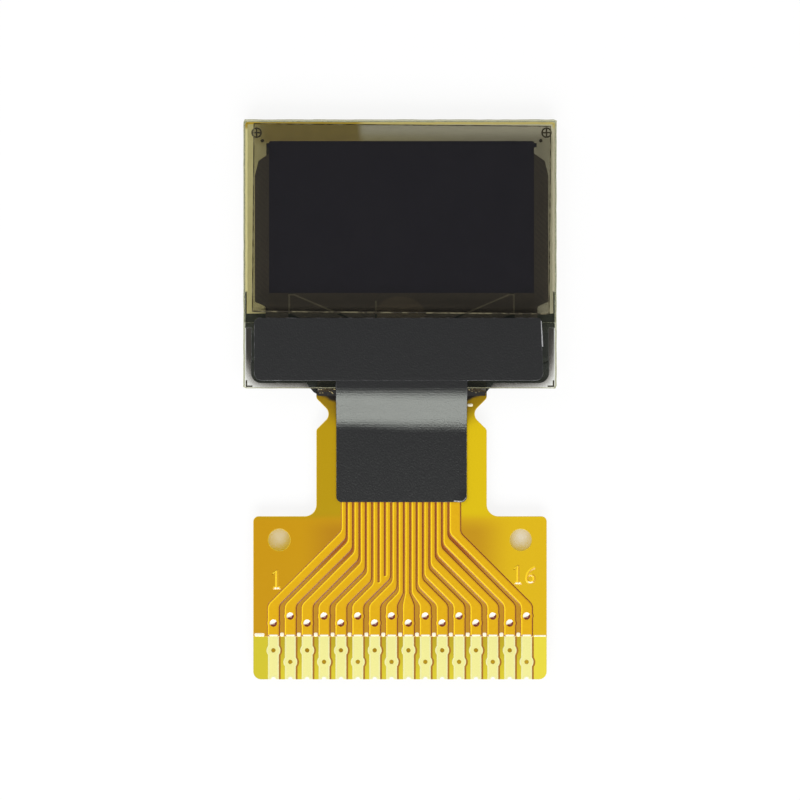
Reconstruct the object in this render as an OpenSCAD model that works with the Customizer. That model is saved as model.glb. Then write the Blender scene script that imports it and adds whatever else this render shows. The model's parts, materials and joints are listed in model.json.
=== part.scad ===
// Small OLED display module: two glasses sealed round the screen, a driver chip on the ledge
// of the front glass, and a flexible tail with a row of plated contacts.
// It lies face up: the screen faces +Z and the contacts point towards -Y.
// The origin is behind the middle of the screen, on the back of the cap glass.

/* [Glass] */
// Width of both glasses
glass_w = 12; // [11.9:0.05:13]
// Height of the front glass, ledge included
glass_h = 10.3; // [10:0.05:11]
// Distance from the middle of the screen up to the top edge of the glass
top_reach = 3.67; // [3.5:0.01:3.9]
// Thickness of the front glass
front_glass_t = 0.5; // [0.3:0.05:0.7]
// Thickness of the cap glass
cap_glass_t = 0.5; // [0.4:0.05:0.7]
// Height of the ledge, where the front glass stands past the cap glass
ledge_h = 2.55; // [2.4:0.05:2.9]
// Depth of the pocket in the cap glass
pocket_depth = 0.25; // [0.2:0.05:0.35]
// Thickness of the desiccant sheet in the pocket
sheet_t = 0.12; // [0.08:0.02:0.2]
// Clearance from the desiccant sheet to the walls of the pocket
sheet_gap = 0.6; // [0.2:0.1:1]

/* [Seal] */
// Clear margin between the seal and the top and side edges of the glass
seal_margin = 0.1; // [0.05:0.01:0.2]
// Clear margin between the seal and the foot of the cap glass
seal_foot_margin = 0.34; // [0.2:0.01:0.5]
// Width of the seal
seal_w = 0.75; // [0.5:0.05:1]
// Gap that the seal fills between the cap glass and the films
seal_t = 0.02; // [0.01:0.005:0.04]

/* [Films] */
// Thickness of the films on the back of the front glass
film_t = 0.01; // [0.005:0.005:0.02]
// How far the films sit to the right of the middle of the glass
film_x = 0.06; // [-0.1:0.01:0.1]
// Distance from the sides of the glass to the dark screen field
screen_inset = 0.9; // [0.8:0.01:1.2]
// Height of the dark screen field
screen_h = 5.85; // [5.4:0.05:6]
// Height of the top edge of the screen field above the middle of the screen
screen_top = 2.9; // [2.7:0.05:3]
// Width of each band of routing lines beside the screen
wing_w = 0.55; // [0.4:0.05:0.6]
// Distance from the top of the screen field down to the bands of routing lines
wing_drop = 0.48; // [0.3:0.02:0.8]
// Height of the slanted shoulder at the top of each band of routing lines
wing_slant = 0.85; // [0.5:0.05:1]
// Width of the pale window beside the lines at the foot of each band
window_w = 0.42; // [0.2:0.02:0.5]
// Distance from the screen field's foot down to the pale window beside the lines
window_drop = 0.34; // [0.2:0.02:0.6]
// Height of the field of lines below the screen
lines_h = 1.35; // [1.2:0.05:1.4]
// Distance from the sides of the screen field to the upright slits
fan_inset = 0.74; // [0.6:0.02:1]
// Drop of the slanted slits over each millimetre across
fan_slope = 0.43; // [0.35:0.01:0.5]
// Distance from the screen field's foot down to the notches at the foot of the upright slits
notch_drop = 0.79; // [0.6:0.01:1]
// Width of the slits between groups of lines
slit_w = 0.07; // [0.04:0.01:0.12]
// Outer radius of the crossed ring marks
mark_r = 0.205; // [0.15:0.005:0.25]
// Line width of all the marks
mark_line = 0.06; // [0.04:0.01:0.08]
// Arm length of the corner marks
corner_mark = 0.26; // [0.2:0.01:0.3]
// Distance from the sides of the glass to the middles of the ring marks
ring_inset = 0.42; // [0.35:0.01:0.5]
// Distance from the top of the glass to the middles of the ring marks
ring_drop = 0.45; // [0.35:0.01:0.5]
// Radius of the dots below the ring marks
dot_r = 0.07; // [0.04:0.01:0.09]

/* [Polarizer] */
// Distance from the sides of the glass to the polarizer
polarizer_inset = 0.32; // [0.2:0.01:0.5]
// Distance from the polarizer down to the front tape
polarizer_foot_gap = 0.17; // [0.1:0.01:0.4]
// Thickness of the polarizer
polarizer_t = 0.2; // [0.1:0.01:0.3]
// Distance from the top edge of the glass to the polarizer
polarizer_top_gap = 0.23; // [0.1:0.01:0.4]
// Turn of the polarizer from laying it by hand, in degrees
polarizer_turn = -0.5; // [-1:0.1:1]

/* [Chip] */
// Length of the driver chip
chip_w = 6.76; // [6:0.01:8]
// Width of the driver chip
chip_h = 0.86; // [0.7:0.01:1]
// Thickness of the driver chip
chip_t = 0.3; // [0.2:0.01:0.35]
// Distance from the cap glass to the driver chip
chip_gap = 0.45; // [0.3:0.01:0.5]
// Thickness of the bond films under the chip and the tail
bond_t = 0.02; // [0.01:0.005:0.03]

/* [Tail] */
// Width of the neck of the tail
neck_w = 6.56; // [6.3:0.02:7]
// Overlap of the tail on the ledge
bond_lap = 0.88; // [0.6:0.02:0.9]
// Length of the neck past the bottom edge of the glass
neck_len = 4.92; // [4.7:0.01:5.4]
// Margin of the wide end beside the outermost contacts
tail_margin = 0.565; // [0.5:0.005:0.8]
// Length of the wide end of the tail
tail_len = 6.28; // [6.1:0.02:7]
// Length of the bare contacts at the end of the tail
contact_len = 1.64; // [1.4:0.02:1.8]
// Radius of the corners where the wide end begins
tail_top_r = 0.2; // [0.1:0.05:0.4]
// Thickness of the base film
base_t = 0.025; // [0.02:0.005:0.05]
// Thickness of the copper
copper_t = 0.02; // [0.01:0.005:0.035]
// Thickness of the coverlays over the copper
cover_t = 0.02; // [0.01:0.005:0.04]
// Distance from the bottom edge of the glass down to the middle of the waist in the neck
waist_drop = 0.98; // [0.85:0.01:1.2]
// Half the length of the waist at the sides of the neck
waist_half = 0.6; // [0.4:0.01:0.7]
// Radius at the bottom of the waist
waist_r = 0.33; // [0.2:0.01:0.4]
// Radius at the ends of the waist
waist_end_r = 0.17; // [0.1:0.01:0.25]
// Radius of the fillets between the neck and the wide end
shoulder_r = 0.45; // [0.2:0.05:0.6]
// Radius of the corners at the end of the tail
tail_corner_r = 0.3; // [0.1:0.05:0.4]
// Radius of the locating holes
locating_r = 0.42; // [0.3:0.01:0.5]
// Distance from the sides of the wide end to the locating holes
locating_inset = 1; // [0.8:0.01:1.2]
// Distance from the top of the wide end to the locating holes
locating_drop = 0.91; // [0.8:0.01:1.1]

/* [Traces] */
// Spacing of the contacts
pad_pitch = 0.65; // [0.6:0.01:0.7]
// Width of the contacts
pad_w = 0.42; // [0.36:0.01:0.46]
// How far the lines in the neck sit to the right of the middle of the contacts
lines_x = 0.04; // [-0.1:0.01:0.1]
// Spacing of the lines in the neck
line_pitch = 0.2445; // [0.23:0.0005:0.25]
// Width of the lines in the neck
line_w = 0.15; // [0.12:0.01:0.17]
// Width of the last, wide line in the neck
wide_line_w = 0.4; // [0.35:0.01:0.45]
// Width of the slanted stretches
slant_w = 0.3; // [0.25:0.01:0.32]
// Distance from the top of the wide end down to where the slanted stretches end
bend_drop = 3.41; // [3.4:0.01:3.6]
// Radius at the bends
bend_r = 0.18; // [0.1:0.01:0.2]
// Radius of the drilled holes
drill_r = 0.105; // [0.09:0.005:0.12]
// Thickness of the copper inside the holes
plating_t = 0.02; // [0.01:0.005:0.03]
// Radius of the ring round each hole in a contact
contact_ring_r = 0.27; // [0.24:0.005:0.29]
// Radius of the ring round each covered hole
covered_ring_r = 0.23; // [0.2:0.005:0.25]
// Distance from the end of the tail to the holes in the odd contacts
odd_hole = 1.12; // [1:0.01:1.2]
// Distance from the end of the tail to the holes in the even contacts
even_hole = 0.675; // [0.5:0.005:0.8]
// Distance from the coverlay's edge to the covered holes of the odd contacts
odd_covered_hole = 0.53; // [0.4:0.01:0.6]
// Distance from the coverlay's edge to the covered holes of the even contacts
even_covered_hole = 0.8; // [0.7:0.01:0.9]
// Height of the pin figures
figure_h = 0.71; // [0.5:0.01:0.8]
// Stroke width of the pin figures
figure_line = 0.1; // [0.06:0.01:0.12]

/* [Tapes] */
// Thickness of the black tapes
tape_t = 0.05; // [0.03:0.01:0.08]
// Distance from the left side of the glass to the front tape
front_tape_left_gap = 0.43; // [0.1:0.01:0.6]
// Distance from the right side of the glass to the front tape
front_tape_right_gap = 0.51; // [0.1:0.01:0.6]
// Height of the front tape on the ledge
front_tape_h = 2.4; // [2.3:0.02:2.6]
// Distance from the bottom edge of the glass to the front tape
front_tape_gap = 0.3; // [0.2:0.01:0.4]
// Width of the tongue of the front tape
tongue_w = 5.02; // [4.6:0.02:5.4]
// Distance from the tongue of the front tape to the wide end of the tail
tongue_gap = 0.55; // [0.3:0.01:0.8]
// Radius of the corners at the foot of the front tape
tape_corner_r = 0.28; // [0.1:0.02:0.4]
// Radius of the corners of the tongues
tongue_corner_r = 0.2; // [0.1:0.05:0.3]
// Length over which the tongue slopes down on to the tail
tongue_slope = 1.5; // [1.2:0.05:1.8]
// Overlap of the back tape on the cap glass
back_tape_lap = 1.2; // [0.8:0.05:1.5]
// Distance from the sides of the glass to the back tape under the ledge
back_tape_inset = 0.25; // [0.1:0.01:0.5]
// Length of the tongue of the back tape past the bottom edge of the glass
back_tongue_len = 1.6; // [1.2:0.05:2]
// Distance from the bottom edge of the glass to the back tape's lower edge
back_tape_gap = 0.21; // [0.1:0.01:0.4]
// Reach of the resin bead from the bottom edge of the glass
resin_reach = 0.28; // [0.2:0.01:0.3]
// Height of the resin bead on the bottom edge of the glass
resin_h = 0.32; // [0.2:0.02:0.4]

/* [Hidden] */
$fn = 48;

// Levels, from the back of the cap glass upwards
film_z = cap_glass_t + seal_t;
glass_z = film_z + film_t;
front_z = glass_z + front_glass_t;
copper_z = film_z - bond_t - copper_t;
base_z = copper_z - base_t;
back_copper_z = base_z - copper_t;
tail_back_z = back_copper_z - cover_t;
tail_front_z = copper_z + copper_t + cover_t;

// Places across the glass, measured from the middle of the screen
glass_foot = top_reach - glass_h;
cap_foot = glass_foot + ledge_h;
seal_top = top_reach - seal_margin;
seal_foot = cap_foot + seal_foot_margin;
seal_side = glass_w / 2 - seal_margin;
pocket_gap = 0.1;
pocket_side = seal_side - seal_w - pocket_gap;
pocket_top = seal_top - seal_w - pocket_gap;
pocket_foot = seal_foot + seal_w + pocket_gap;
screen_foot = screen_top - screen_h;
screen_side = glass_w / 2 - screen_inset;
wing_side = screen_side + wing_w;
wing_top = screen_top - wing_drop;
lines_foot = screen_foot - lines_h;
fan_side = screen_side - fan_inset;
chip_top = cap_foot - chip_gap;
chip_foot = chip_top - chip_h;
chip_back = film_z - bond_t - chip_t;
bond_top = glass_foot + bond_lap;
front_tape_foot = glass_foot + front_tape_gap;
front_tape_top = front_tape_foot + front_tape_h;
polarizer_top = top_reach - polarizer_top_gap;
polarizer_foot = front_tape_top + polarizer_foot_gap;

// Places along the tail
tail_top = glass_foot - neck_len;
tail_foot = tail_top - tail_len;
cover_foot = tail_foot + contact_len;
neck_left = film_x - neck_w / 2;
neck_right = film_x + neck_w / 2;
waist_y = glass_foot - waist_drop;
locating_y = tail_top - locating_drop;
bend_at = tail_top - bend_drop;
edge_gap = 0.05;
past = 1;

// Lines run down the neck side by side. Three of them share one contact, and the last line is wide.
pin_count = 16;
tail_side = pad_x(pin_count) + pad_w / 2 + tail_margin;
locating_x = tail_side - locating_inset;
line_count = 17;
shared_pin = 6;
shared_lines = 3;
lines_left = lines_x - (line_count * line_pitch + wide_line_w) / 2;
wide_left = lines_left + line_count * line_pitch;
slot_rise = 0.06;
taper_min = 0.45;

function line_x(i) = lines_left + line_w / 2 + (i - 1) * line_pitch;
function pad_x(pin) = (pin - (pin_count + 1) / 2) * pad_pitch;
function is_odd(pin) = pin % 2 == 1;
// The first and the last line that lead to a pin
function line_from(pin) = pin <= shared_pin ? pin : pin + shared_lines - 1;
function line_to(pin) = pin < shared_pin ? pin : pin + shared_lines - 1;
function left_edge(pin) = pin == pin_count ? wide_left : line_x(line_from(pin)) - line_w / 2;
function right_edge(pin) = pin == pin_count ? wide_left + wide_line_w : line_x(line_to(pin)) + line_w / 2;
// Holes in the contacts and under the coverlay stand at two heights in turn
function contact_hole_y(pin) = tail_foot + (is_odd(pin) ? odd_hole : even_hole);
function covered_hole_y(pin) = cover_foot + (is_odd(pin) ? odd_covered_hole : even_covered_hole);

// Turns a closed outline of [x, y, radius] corners into one with rounded corners
function unit(v) = v / norm(v);
function corner_arc(before, at, after, r, steps = 6) =
  let (
    u = unit(before - at),
    v = unit(after - at),
    half = acos(max(-1, min(1, u * v))) / 2,
    reach = r / tan(half),
    centre = at + unit(u + v) * r / sin(half),
    from = at + u * reach - centre,
    to = at + v * reach - centre,
    turn = from[0] * to[1] - from[1] * to[0] > 0 ? 1 : -1,
    sweep = 180 - 2 * half
  )
  [for (k = [0:steps])
    let (a = turn * sweep * k / steps)
    centre + [from[0] * cos(a) - from[1] * sin(a), from[0] * sin(a) + from[1] * cos(a)]];
function flat(p) = [p[0], p[1]];
function rounded(points) =
  let (n = len(points))
  [for (i = [0:n - 1])
    let (at = points[i], before = points[(i + n - 1) % n], after = points[(i + 1) % n])
    each (at[2] == 0 ? [flat(at)] : corner_arc(flat(before), flat(at), flat(after), at[2]))];

module slab(z, thickness) {
  translate([0, 0, z]) linear_extrude(thickness) children();
}

module area(left, right, foot, top) {
  translate([left, foot]) square([right - left, top - foot]);
}

// ---------- Glasses and seal ----------

module cap_glass() {
  color([0.80, 0.84, 0.80, 0.6]) difference() {
    slab(0, cap_glass_t) area(-glass_w / 2, glass_w / 2, cap_foot, top_reach);
    slab(cap_glass_t - pocket_depth, pocket_depth + past)
      area(-pocket_side, pocket_side, pocket_foot, pocket_top);
  }
}

module desiccant_sheet() {
  color([0.86, 0.86, 0.82])
    slab(cap_glass_t - pocket_depth, sheet_t)
    area(-pocket_side + sheet_gap, pocket_side - sheet_gap, pocket_foot + sheet_gap, pocket_top - sheet_gap);
}

module seal_ring() {
  difference() {
    area(-seal_side, seal_side, seal_foot, seal_top);
    area(-seal_side + seal_w, seal_side - seal_w, seal_foot + seal_w, seal_top - seal_w);
  }
}

// The seal reaches up to the front glass wherever no film lies between them
module seal_frame() {
  color([0.72, 0.68, 0.42]) {
    slab(cap_glass_t, seal_t) seal_ring();
    slab(film_z, film_t) difference() {
      seal_ring();
      screen_outline();
      routing_outline();
      mark_outlines();
    }
  }
}

module front_glass() {
  color([0.85, 0.90, 0.86, 0.5])
    slab(glass_z, front_glass_t) area(-glass_w / 2, glass_w / 2, glass_foot, top_reach);
}

module polarizer() {
  color([0.22, 0.22, 0.22, 0.8])
    translate([film_x, (polarizer_top + polarizer_foot) / 2, front_z])
    rotate(polarizer_turn)
    linear_extrude(polarizer_t)
    square([glass_w - 2 * polarizer_inset, polarizer_top - polarizer_foot], center = true);
}

// ---------- Films on the back of the front glass ----------

// The dark field, with a small contact tab at each upper corner
module screen_outline() {
  corner_r = 0.06;
  tab_w = 0.1;
  tab_h = 0.16;
  tab_drop = 0.08;
  tab_top = screen_top - tab_drop;
  translate([film_x, 0]) {
    polygon(rounded([
      [-screen_side, screen_foot, 0], [screen_side, screen_foot, 0],
      [screen_side, screen_top, corner_r], [-screen_side, screen_top, corner_r],
    ]));
    area(-screen_side - tab_w, screen_side + tab_w, tab_top - tab_h, tab_top);
  }
}

module screen_film() {
  color([0.09, 0.09, 0.11]) slab(film_z, film_t) screen_outline();
}

// One band of routing lines beside the screen: a slanted shoulder at the top, which turns
// steeper at a knee, and a narrower foot that leaves a pale window beside it
module wing_outline() {
  knee_w = 0.14;
  knee_drop = wing_slant / 3;
  window_top = screen_foot - window_drop;
  window_slant = 0.18;
  window_r = 0.12;
  polygon(rounded([
    [screen_side, wing_top, 0], [wing_side - knee_w, wing_top - knee_drop, 0],
    [wing_side, wing_top - wing_slant, 0], [wing_side, window_top, 0],
    [wing_side - window_w, window_top - window_slant, window_r],
    [wing_side - window_w, lines_foot, 0], [screen_side, lines_foot, 0],
  ]));
}

// A slit beside one slanted group of lines: up, over a short top and down a long slope.
// At its foot the upright stretch widens into a notch with the same slope.
module fan_slit() {
  fan_top = screen_foot - 0.02;
  flat_w = 0.2;
  notch_top = screen_foot - notch_drop;
  group_foot = lines_foot - past;
  difference() {
    polygon([
      [fan_side, lines_foot], [fan_side, fan_top], [fan_side - flat_w, fan_top],
      [fan_side - flat_w - (fan_top - lines_foot) / fan_slope, lines_foot],
    ]);
    polygon([
      [fan_side - slit_w, notch_top], [fan_side - slit_w, fan_top - slit_w],
      [fan_side - flat_w, fan_top - slit_w],
      [fan_side - flat_w - (fan_top - slit_w - group_foot) / fan_slope, group_foot],
      [fan_side - slit_w - (notch_top - group_foot) / fan_slope, group_foot],
    ]);
  }
}

module routing_outline() {
  slit_in = 3.41;
  slit_h = 1.05;
  slit_x = slit_in - fan_side;
  translate([film_x, 0]) {
    difference() {
      area(-screen_side, screen_side, lines_foot, screen_foot);
      for (side = [0, 1]) mirror([side, 0]) fan_slit();
      area(slit_x - slit_w, slit_x, lines_foot, lines_foot + slit_h);
    }
    for (side = [0, 1]) mirror([side, 0]) wing_outline();
    area(-chip_w / 2, chip_w / 2, chip_foot, lines_foot);
  }
  // Terminals that the tail is bonded to
  for (i = [1:line_count])
    area(line_x(i) - line_w / 2, line_x(i) + line_w / 2, glass_foot + edge_gap, chip_foot);
  area(wide_left, wide_left + wide_line_w, glass_foot + edge_gap, chip_foot);
}

module routing_film() {
  color([0.26, 0.22, 0.18]) slab(film_z, film_t) routing_outline();
}

module ring_mark() {
  difference() {
    circle(mark_r);
    circle(mark_r - mark_line);
  }
  square([2 * mark_r - mark_line, mark_line], center = true);
  square([mark_line, 2 * mark_r - mark_line], center = true);
}

module mark_outlines() {
  dot_in = 0.22;
  dot_down = 0.31;
  corner_inset = 0.06;
  translate([film_x, 0]) for (side = [-1, 1])
    translate([side * (glass_w / 2 - ring_inset), top_reach - ring_drop]) {
      ring_mark();
      translate([-side * dot_in, -dot_down]) circle(dot_r, $fn = 24);
    }
  for (side = [0, 1]) mirror([side, 0])
    translate([glass_w / 2 - corner_inset, glass_foot + corner_inset]) {
      translate([-corner_mark, 0]) square([corner_mark, mark_line]);
      translate([-mark_line, 0]) square([mark_line, corner_mark]);
    }
}

module alignment_marks() {
  color([0.2, 0.18, 0.16]) slab(film_z, film_t) mark_outlines();
}

// ---------- Chip and bonds ----------

module driver_chip() {
  color([0.35, 0.35, 0.38])
    slab(chip_back, chip_t) area(film_x - chip_w / 2, film_x + chip_w / 2, chip_foot, chip_top);
}

module chip_bond_film() {
  lap = 0.1;
  color([0.55, 0.50, 0.38])
    slab(film_z - bond_t, bond_t)
    area(film_x - chip_w / 2 - lap, film_x + chip_w / 2 + lap, chip_foot - lap, chip_top + lap);
}

module tail_bond_film() {
  color([0.60, 0.52, 0.36])
    slab(film_z - bond_t, bond_t)
    area(neck_left + edge_gap, neck_right - edge_gap, glass_foot + edge_gap, bond_top - edge_gap);
}

// Bead in the corner between the glass and the tail, with a hollow face
module edge_resin() {
  hollow_x = resin_reach * 0.45;
  hollow_z = resin_h * 0.35;
  color([0.75, 0.72, 0.62, 0.7])
    translate([neck_left + edge_gap, 0, 0]) rotate([90, 0, 90])
    linear_extrude(neck_w - 2 * edge_gap)
    polygon([
      [glass_foot, glass_z], [glass_foot, glass_z + resin_h],
      [glass_foot - hollow_x, tail_front_z + hollow_z],
      [glass_foot - resin_reach, tail_front_z], [glass_foot, tail_front_z],
    ]);
}

// ---------- Tail ----------

// The waist is a rounded V with slopes of 45 degrees
module tail_outline() {
  waist_top = waist_y + waist_half;
  waist_foot = waist_y - waist_half;
  polygon(rounded([
    [neck_left, bond_top, 0],
    [neck_left, waist_top, waist_end_r],
    [neck_left + waist_half, waist_y, waist_r],
    [neck_left, waist_foot, waist_end_r],
    [neck_left, tail_top, shoulder_r],
    [-tail_side, tail_top, tail_top_r],
    [-tail_side, tail_foot, tail_corner_r],
    [tail_side, tail_foot, tail_corner_r],
    [tail_side, tail_top, tail_top_r],
    [neck_right, tail_top, shoulder_r],
    [neck_right, waist_foot, waist_end_r],
    [neck_right - waist_half, waist_y, waist_r],
    [neck_right, waist_top, waist_end_r],
    [neck_right, bond_top, 0],
  ]));
}

module locating_holes() {
  for (side = [-1, 1]) translate([side * locating_x, locating_y]) circle(locating_r);
}

module drilled_holes(pin, r) {
  for (y = [contact_hole_y(pin), covered_hole_y(pin)]) translate([pad_x(pin), y]) circle(r, $fn = 24);
  translate([pad_x(pin), tail_foot]) circle(r, $fn = 24);
}

module tail_base() {
  color([0.80, 0.62, 0.12, 0.8]) slab(base_z, base_t) difference() {
    tail_outline();
    locating_holes();
    for (pin = [1:pin_count]) drilled_holes(pin, drill_r);
  }
}

module front_coverlay() {
  color([0.86, 0.66, 0.10, 0.7]) difference() {
    slab(copper_z, copper_t + cover_t) difference() {
      intersection() {
        tail_outline();
        area(-tail_side, tail_side, cover_foot, glass_foot - edge_gap);
      }
      locating_holes();
    }
    for (pin = [1:pin_count]) slab(copper_z, copper_t) front_copper(pin);
    slab(copper_z, copper_t) figure_outlines();
  }
}

module back_coverlay() {
  color([0.78, 0.52, 0.10, 0.8]) difference() {
    slab(tail_back_z, copper_t + cover_t) difference() {
      intersection() {
        tail_outline();
        area(-tail_side, tail_side, cover_foot, tail_top - edge_gap);
      }
      locating_holes();
    }
    for (pin = [1:pin_count]) slab(back_copper_z, copper_t) back_copper(pin);
  }
}

// ---------- Traces ----------

// Front copper of one pin: its lines in the neck, the slanted stretch and the contact
module front_copper(pin) {
  x = pad_x(pin);
  half = pad_w / 2;
  spread = half - slant_w / sqrt(2);
  outward = x < (left_edge(pin) + right_edge(pin)) / 2 ? -1 : 1;
  left_rise = max(taper_min, abs(left_edge(pin) - x + half) + spread * outward);
  right_rise = max(taper_min, abs(right_edge(pin) - x - half) - spread * outward);
  top = bond_top - edge_gap;
  difference() {
    union() {
      polygon(rounded([
        [left_edge(pin), top, 0],
        [left_edge(pin), bend_at + left_rise, bend_r],
        [x - half, bend_at, bend_r],
        [x - half, tail_foot, 0],
        [x + half, tail_foot, 0],
        [x + half, bend_at, bend_r],
        [right_edge(pin), bend_at + right_rise, bend_r],
        [right_edge(pin), top, 0],
      ]));
      translate([x, contact_hole_y(pin)]) circle(contact_ring_r);
      translate([x, covered_hole_y(pin)]) circle(covered_ring_r);
    }
    // Slots between the lines that share this pin
    if (line_to(pin) > line_from(pin)) for (i = [line_from(pin):line_to(pin) - 1]) {
      slot_x = (line_x(i) + line_x(i + 1)) / 2;
      slot_w = line_pitch - line_w;
      slot_foot = bend_at + slot_x - x + slot_rise + slot_w / 2;
      area(slot_x - slot_w / 2, slot_x + slot_w / 2, slot_foot, top + past);
      translate([slot_x, slot_foot]) circle(slot_w / 2, $fn = 24);
    }
    drilled_holes(pin, drill_r - plating_t);
  }
}

module back_copper(pin) {
  difference() {
    union() {
      area(pad_x(pin) - pad_w / 2, pad_x(pin) + pad_w / 2, tail_foot, covered_hole_y(pin));
      translate([pad_x(pin), contact_hole_y(pin)]) circle(contact_ring_r);
      translate([pad_x(pin), covered_hole_y(pin)]) circle(covered_ring_r);
    }
    drilled_holes(pin, drill_r - plating_t);
  }
}

module trace(pin) {
  color([0.88, 0.72, 0.25]) {
    slab(copper_z, copper_t) front_copper(pin);
    slab(base_z, base_t) difference() {
      intersection() {
        drilled_holes(pin, drill_r);
        area(-tail_side, tail_side, tail_foot, 0);
      }
      drilled_holes(pin, drill_r - plating_t);
    }
    slab(back_copper_z, copper_t) back_copper(pin);
  }
}

// Figure 1: a stem with a slanted flag and a thin foot, standing on the origin
module figure_one() {
  foot_w = figure_h * 0.38;
  thin = figure_line * 0.6;
  flag = figure_h * 0.16;
  stem = figure_line / 2;
  translate([-stem, 0]) square([figure_line, figure_h]);
  translate([-foot_w / 2, 0]) square([foot_w, thin]);
  polygon([
    [-stem, figure_h], [-stem - flag, figure_h - flag],
    [-stem - flag, figure_h - flag - thin], [-stem, figure_h - flag],
  ]);
}

// Figure 6: a bowl with a curved stem, standing on the origin
module figure_six() {
  bowl_r = figure_h * 0.29;
  stem_r = figure_h - bowl_r;
  translate([0, bowl_r]) {
    difference() {
      circle(bowl_r);
      circle(bowl_r - figure_line);
    }
    intersection() {
      translate([stem_r - bowl_r, 0]) difference() {
        circle(stem_r);
        circle(stem_r - figure_line);
      }
      area(-bowl_r, bowl_r * 0.8, 0, stem_r);
    }
  }
}

// The figures stand above the first and the last contact, clear of the slanted stretches
module figure_outlines() {
  first_rise = 0.62;
  last_rise = 0.81;
  digit_step = 0.48;
  translate([pad_x(1) + 0.13, bend_at + first_rise]) figure_one();
  translate([pad_x(pin_count) - 0.33, bend_at + last_rise]) {
    figure_one();
    translate([digit_step, 0]) figure_six();
  }
}

module pin_figures() {
  color([0.88, 0.72, 0.25]) slab(copper_z, copper_t) figure_outlines();
}

// ---------- Tapes ----------

// Eases from 0 to 1 without a step in slope
function ease(t) = t * t * (3 - 2 * t);

// A strip of tape across X whose under side follows [y, z] points
module strip(path, left, right) {
  upper = [for (i = [len(path) - 1:-1:0]) path[i] + [0, tape_t]];
  translate([left, 0, 0]) rotate([90, 0, 90])
    linear_extrude(right - left) polygon(concat(path, upper));
}

// A wide piece on the ledge, laid a little askew at its right end, and a tongue that eases
// down over the edge of the glass on to the tail
module front_tape() {
  left = -glass_w / 2 + front_tape_left_gap;
  right = glass_w / 2 - front_tape_right_gap;
  skew = 0.1;
  top_left_r = 0.2;
  lap = 0.5;
  tongue_foot = tail_top + tongue_gap;
  tongue_left = film_x - tongue_w / 2;
  tongue_right = film_x + tongue_w / 2;
  slope_top = glass_foot - edge_gap;
  drop = tail_front_z - front_z;
  steps = 16;
  slope = [for (k = [0:steps])
    [slope_top - tongue_slope * k / steps, front_z + drop * ease(k / steps)]];
  color([0.16, 0.16, 0.17]) {
    slab(front_z, tape_t) polygon(rounded([
      [left, front_tape_foot, tape_corner_r], [right, front_tape_foot, tape_corner_r],
      [right - skew, front_tape_top, skew], [left, front_tape_top, top_left_r],
    ]));
    intersection() {
      strip(concat([[front_tape_foot + lap, front_z]], slope, [[tongue_foot, tail_front_z]]),
        tongue_left, tongue_right);
      slab(0, front_z + past) polygon(rounded([
        [tongue_left, tongue_foot, tongue_corner_r], [tongue_right, tongue_foot, tongue_corner_r],
        [tongue_right, front_tape_foot + lap, 0], [tongue_left, front_tape_foot + lap, 0],
      ]));
    }
  }
}

// Goes from the back of the cap glass over the chip and on to the back of the tail
module back_tape() {
  top = cap_foot + back_tape_lap;
  wide_foot = cap_foot - 0.2;
  foot = glass_foot + back_tape_gap;
  tongue_foot = glass_foot - back_tongue_len;
  full = glass_w / 2;
  side = glass_w / 2 - back_tape_inset;
  corner_r = 0.4;
  flare = 0.3;
  neck_side = neck_w / 2 + edge_gap;
  neck_foot = foot - 0.35;
  tongue_side = tongue_w / 2 + edge_gap;
  tongue_top = foot - 0.8;
  slack = 0.1;
  path = [for (p = [
    [top, 0], [cap_foot, 0], [chip_top + slack, chip_back], [chip_foot - slack, chip_back],
    [bond_top + slack, tail_back_z], [tongue_foot, tail_back_z],
  ]) p - [0, tape_t]];
  color([0.13, 0.13, 0.14]) intersection() {
    strip(path, -full, full);
    slab(-past, front_z + past) polygon(rounded([
      [-full, top, 0], [-full, wide_foot, 0], [-side, wide_foot, 0], [-side, foot, corner_r],
      [-neck_side - flare, foot, 0], [-neck_side, neck_foot, 0], [-tongue_side, tongue_top, 0],
      [-tongue_side, tongue_foot, tongue_corner_r], [tongue_side, tongue_foot, tongue_corner_r],
      [tongue_side, tongue_top, 0], [neck_side, neck_foot, 0], [neck_side + flare, foot, 0],
      [side, foot, corner_r], [side, wide_foot, 0], [full, wide_foot, 0], [full, top, 0],
    ]));
  }
}

cap_glass();
desiccant_sheet();
seal_frame();
screen_film();
routing_film();
alignment_marks();
front_glass();
polarizer();
driver_chip();
chip_bond_film();
tail_bond_film();
edge_resin();
tail_base();
front_coverlay();
back_coverlay();
pin_figures();
front_tape();
back_tape();
trace(1);  // trace_01
trace(2);  // trace_02
trace(3);  // trace_03
trace(4);  // trace_04
trace(5);  // trace_05
trace(6);  // trace_06
trace(7);  // trace_07
trace(8);  // trace_08
trace(9);  // trace_09
trace(10);  // trace_10
trace(11);  // trace_11
trace(12);  // trace_12
trace(13);  // trace_13
trace(14);  // trace_14
trace(15);  // trace_15
trace(16);  // trace_16
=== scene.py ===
# The looks of the small OLED module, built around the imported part.
# Sizes are in millimetres, and MM turns them into Blender's metres.
import json
import math

import bpy
from mathutils import Matrix, Vector, noise
from mathutils.geometry import delaunay_2d_cdt


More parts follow.
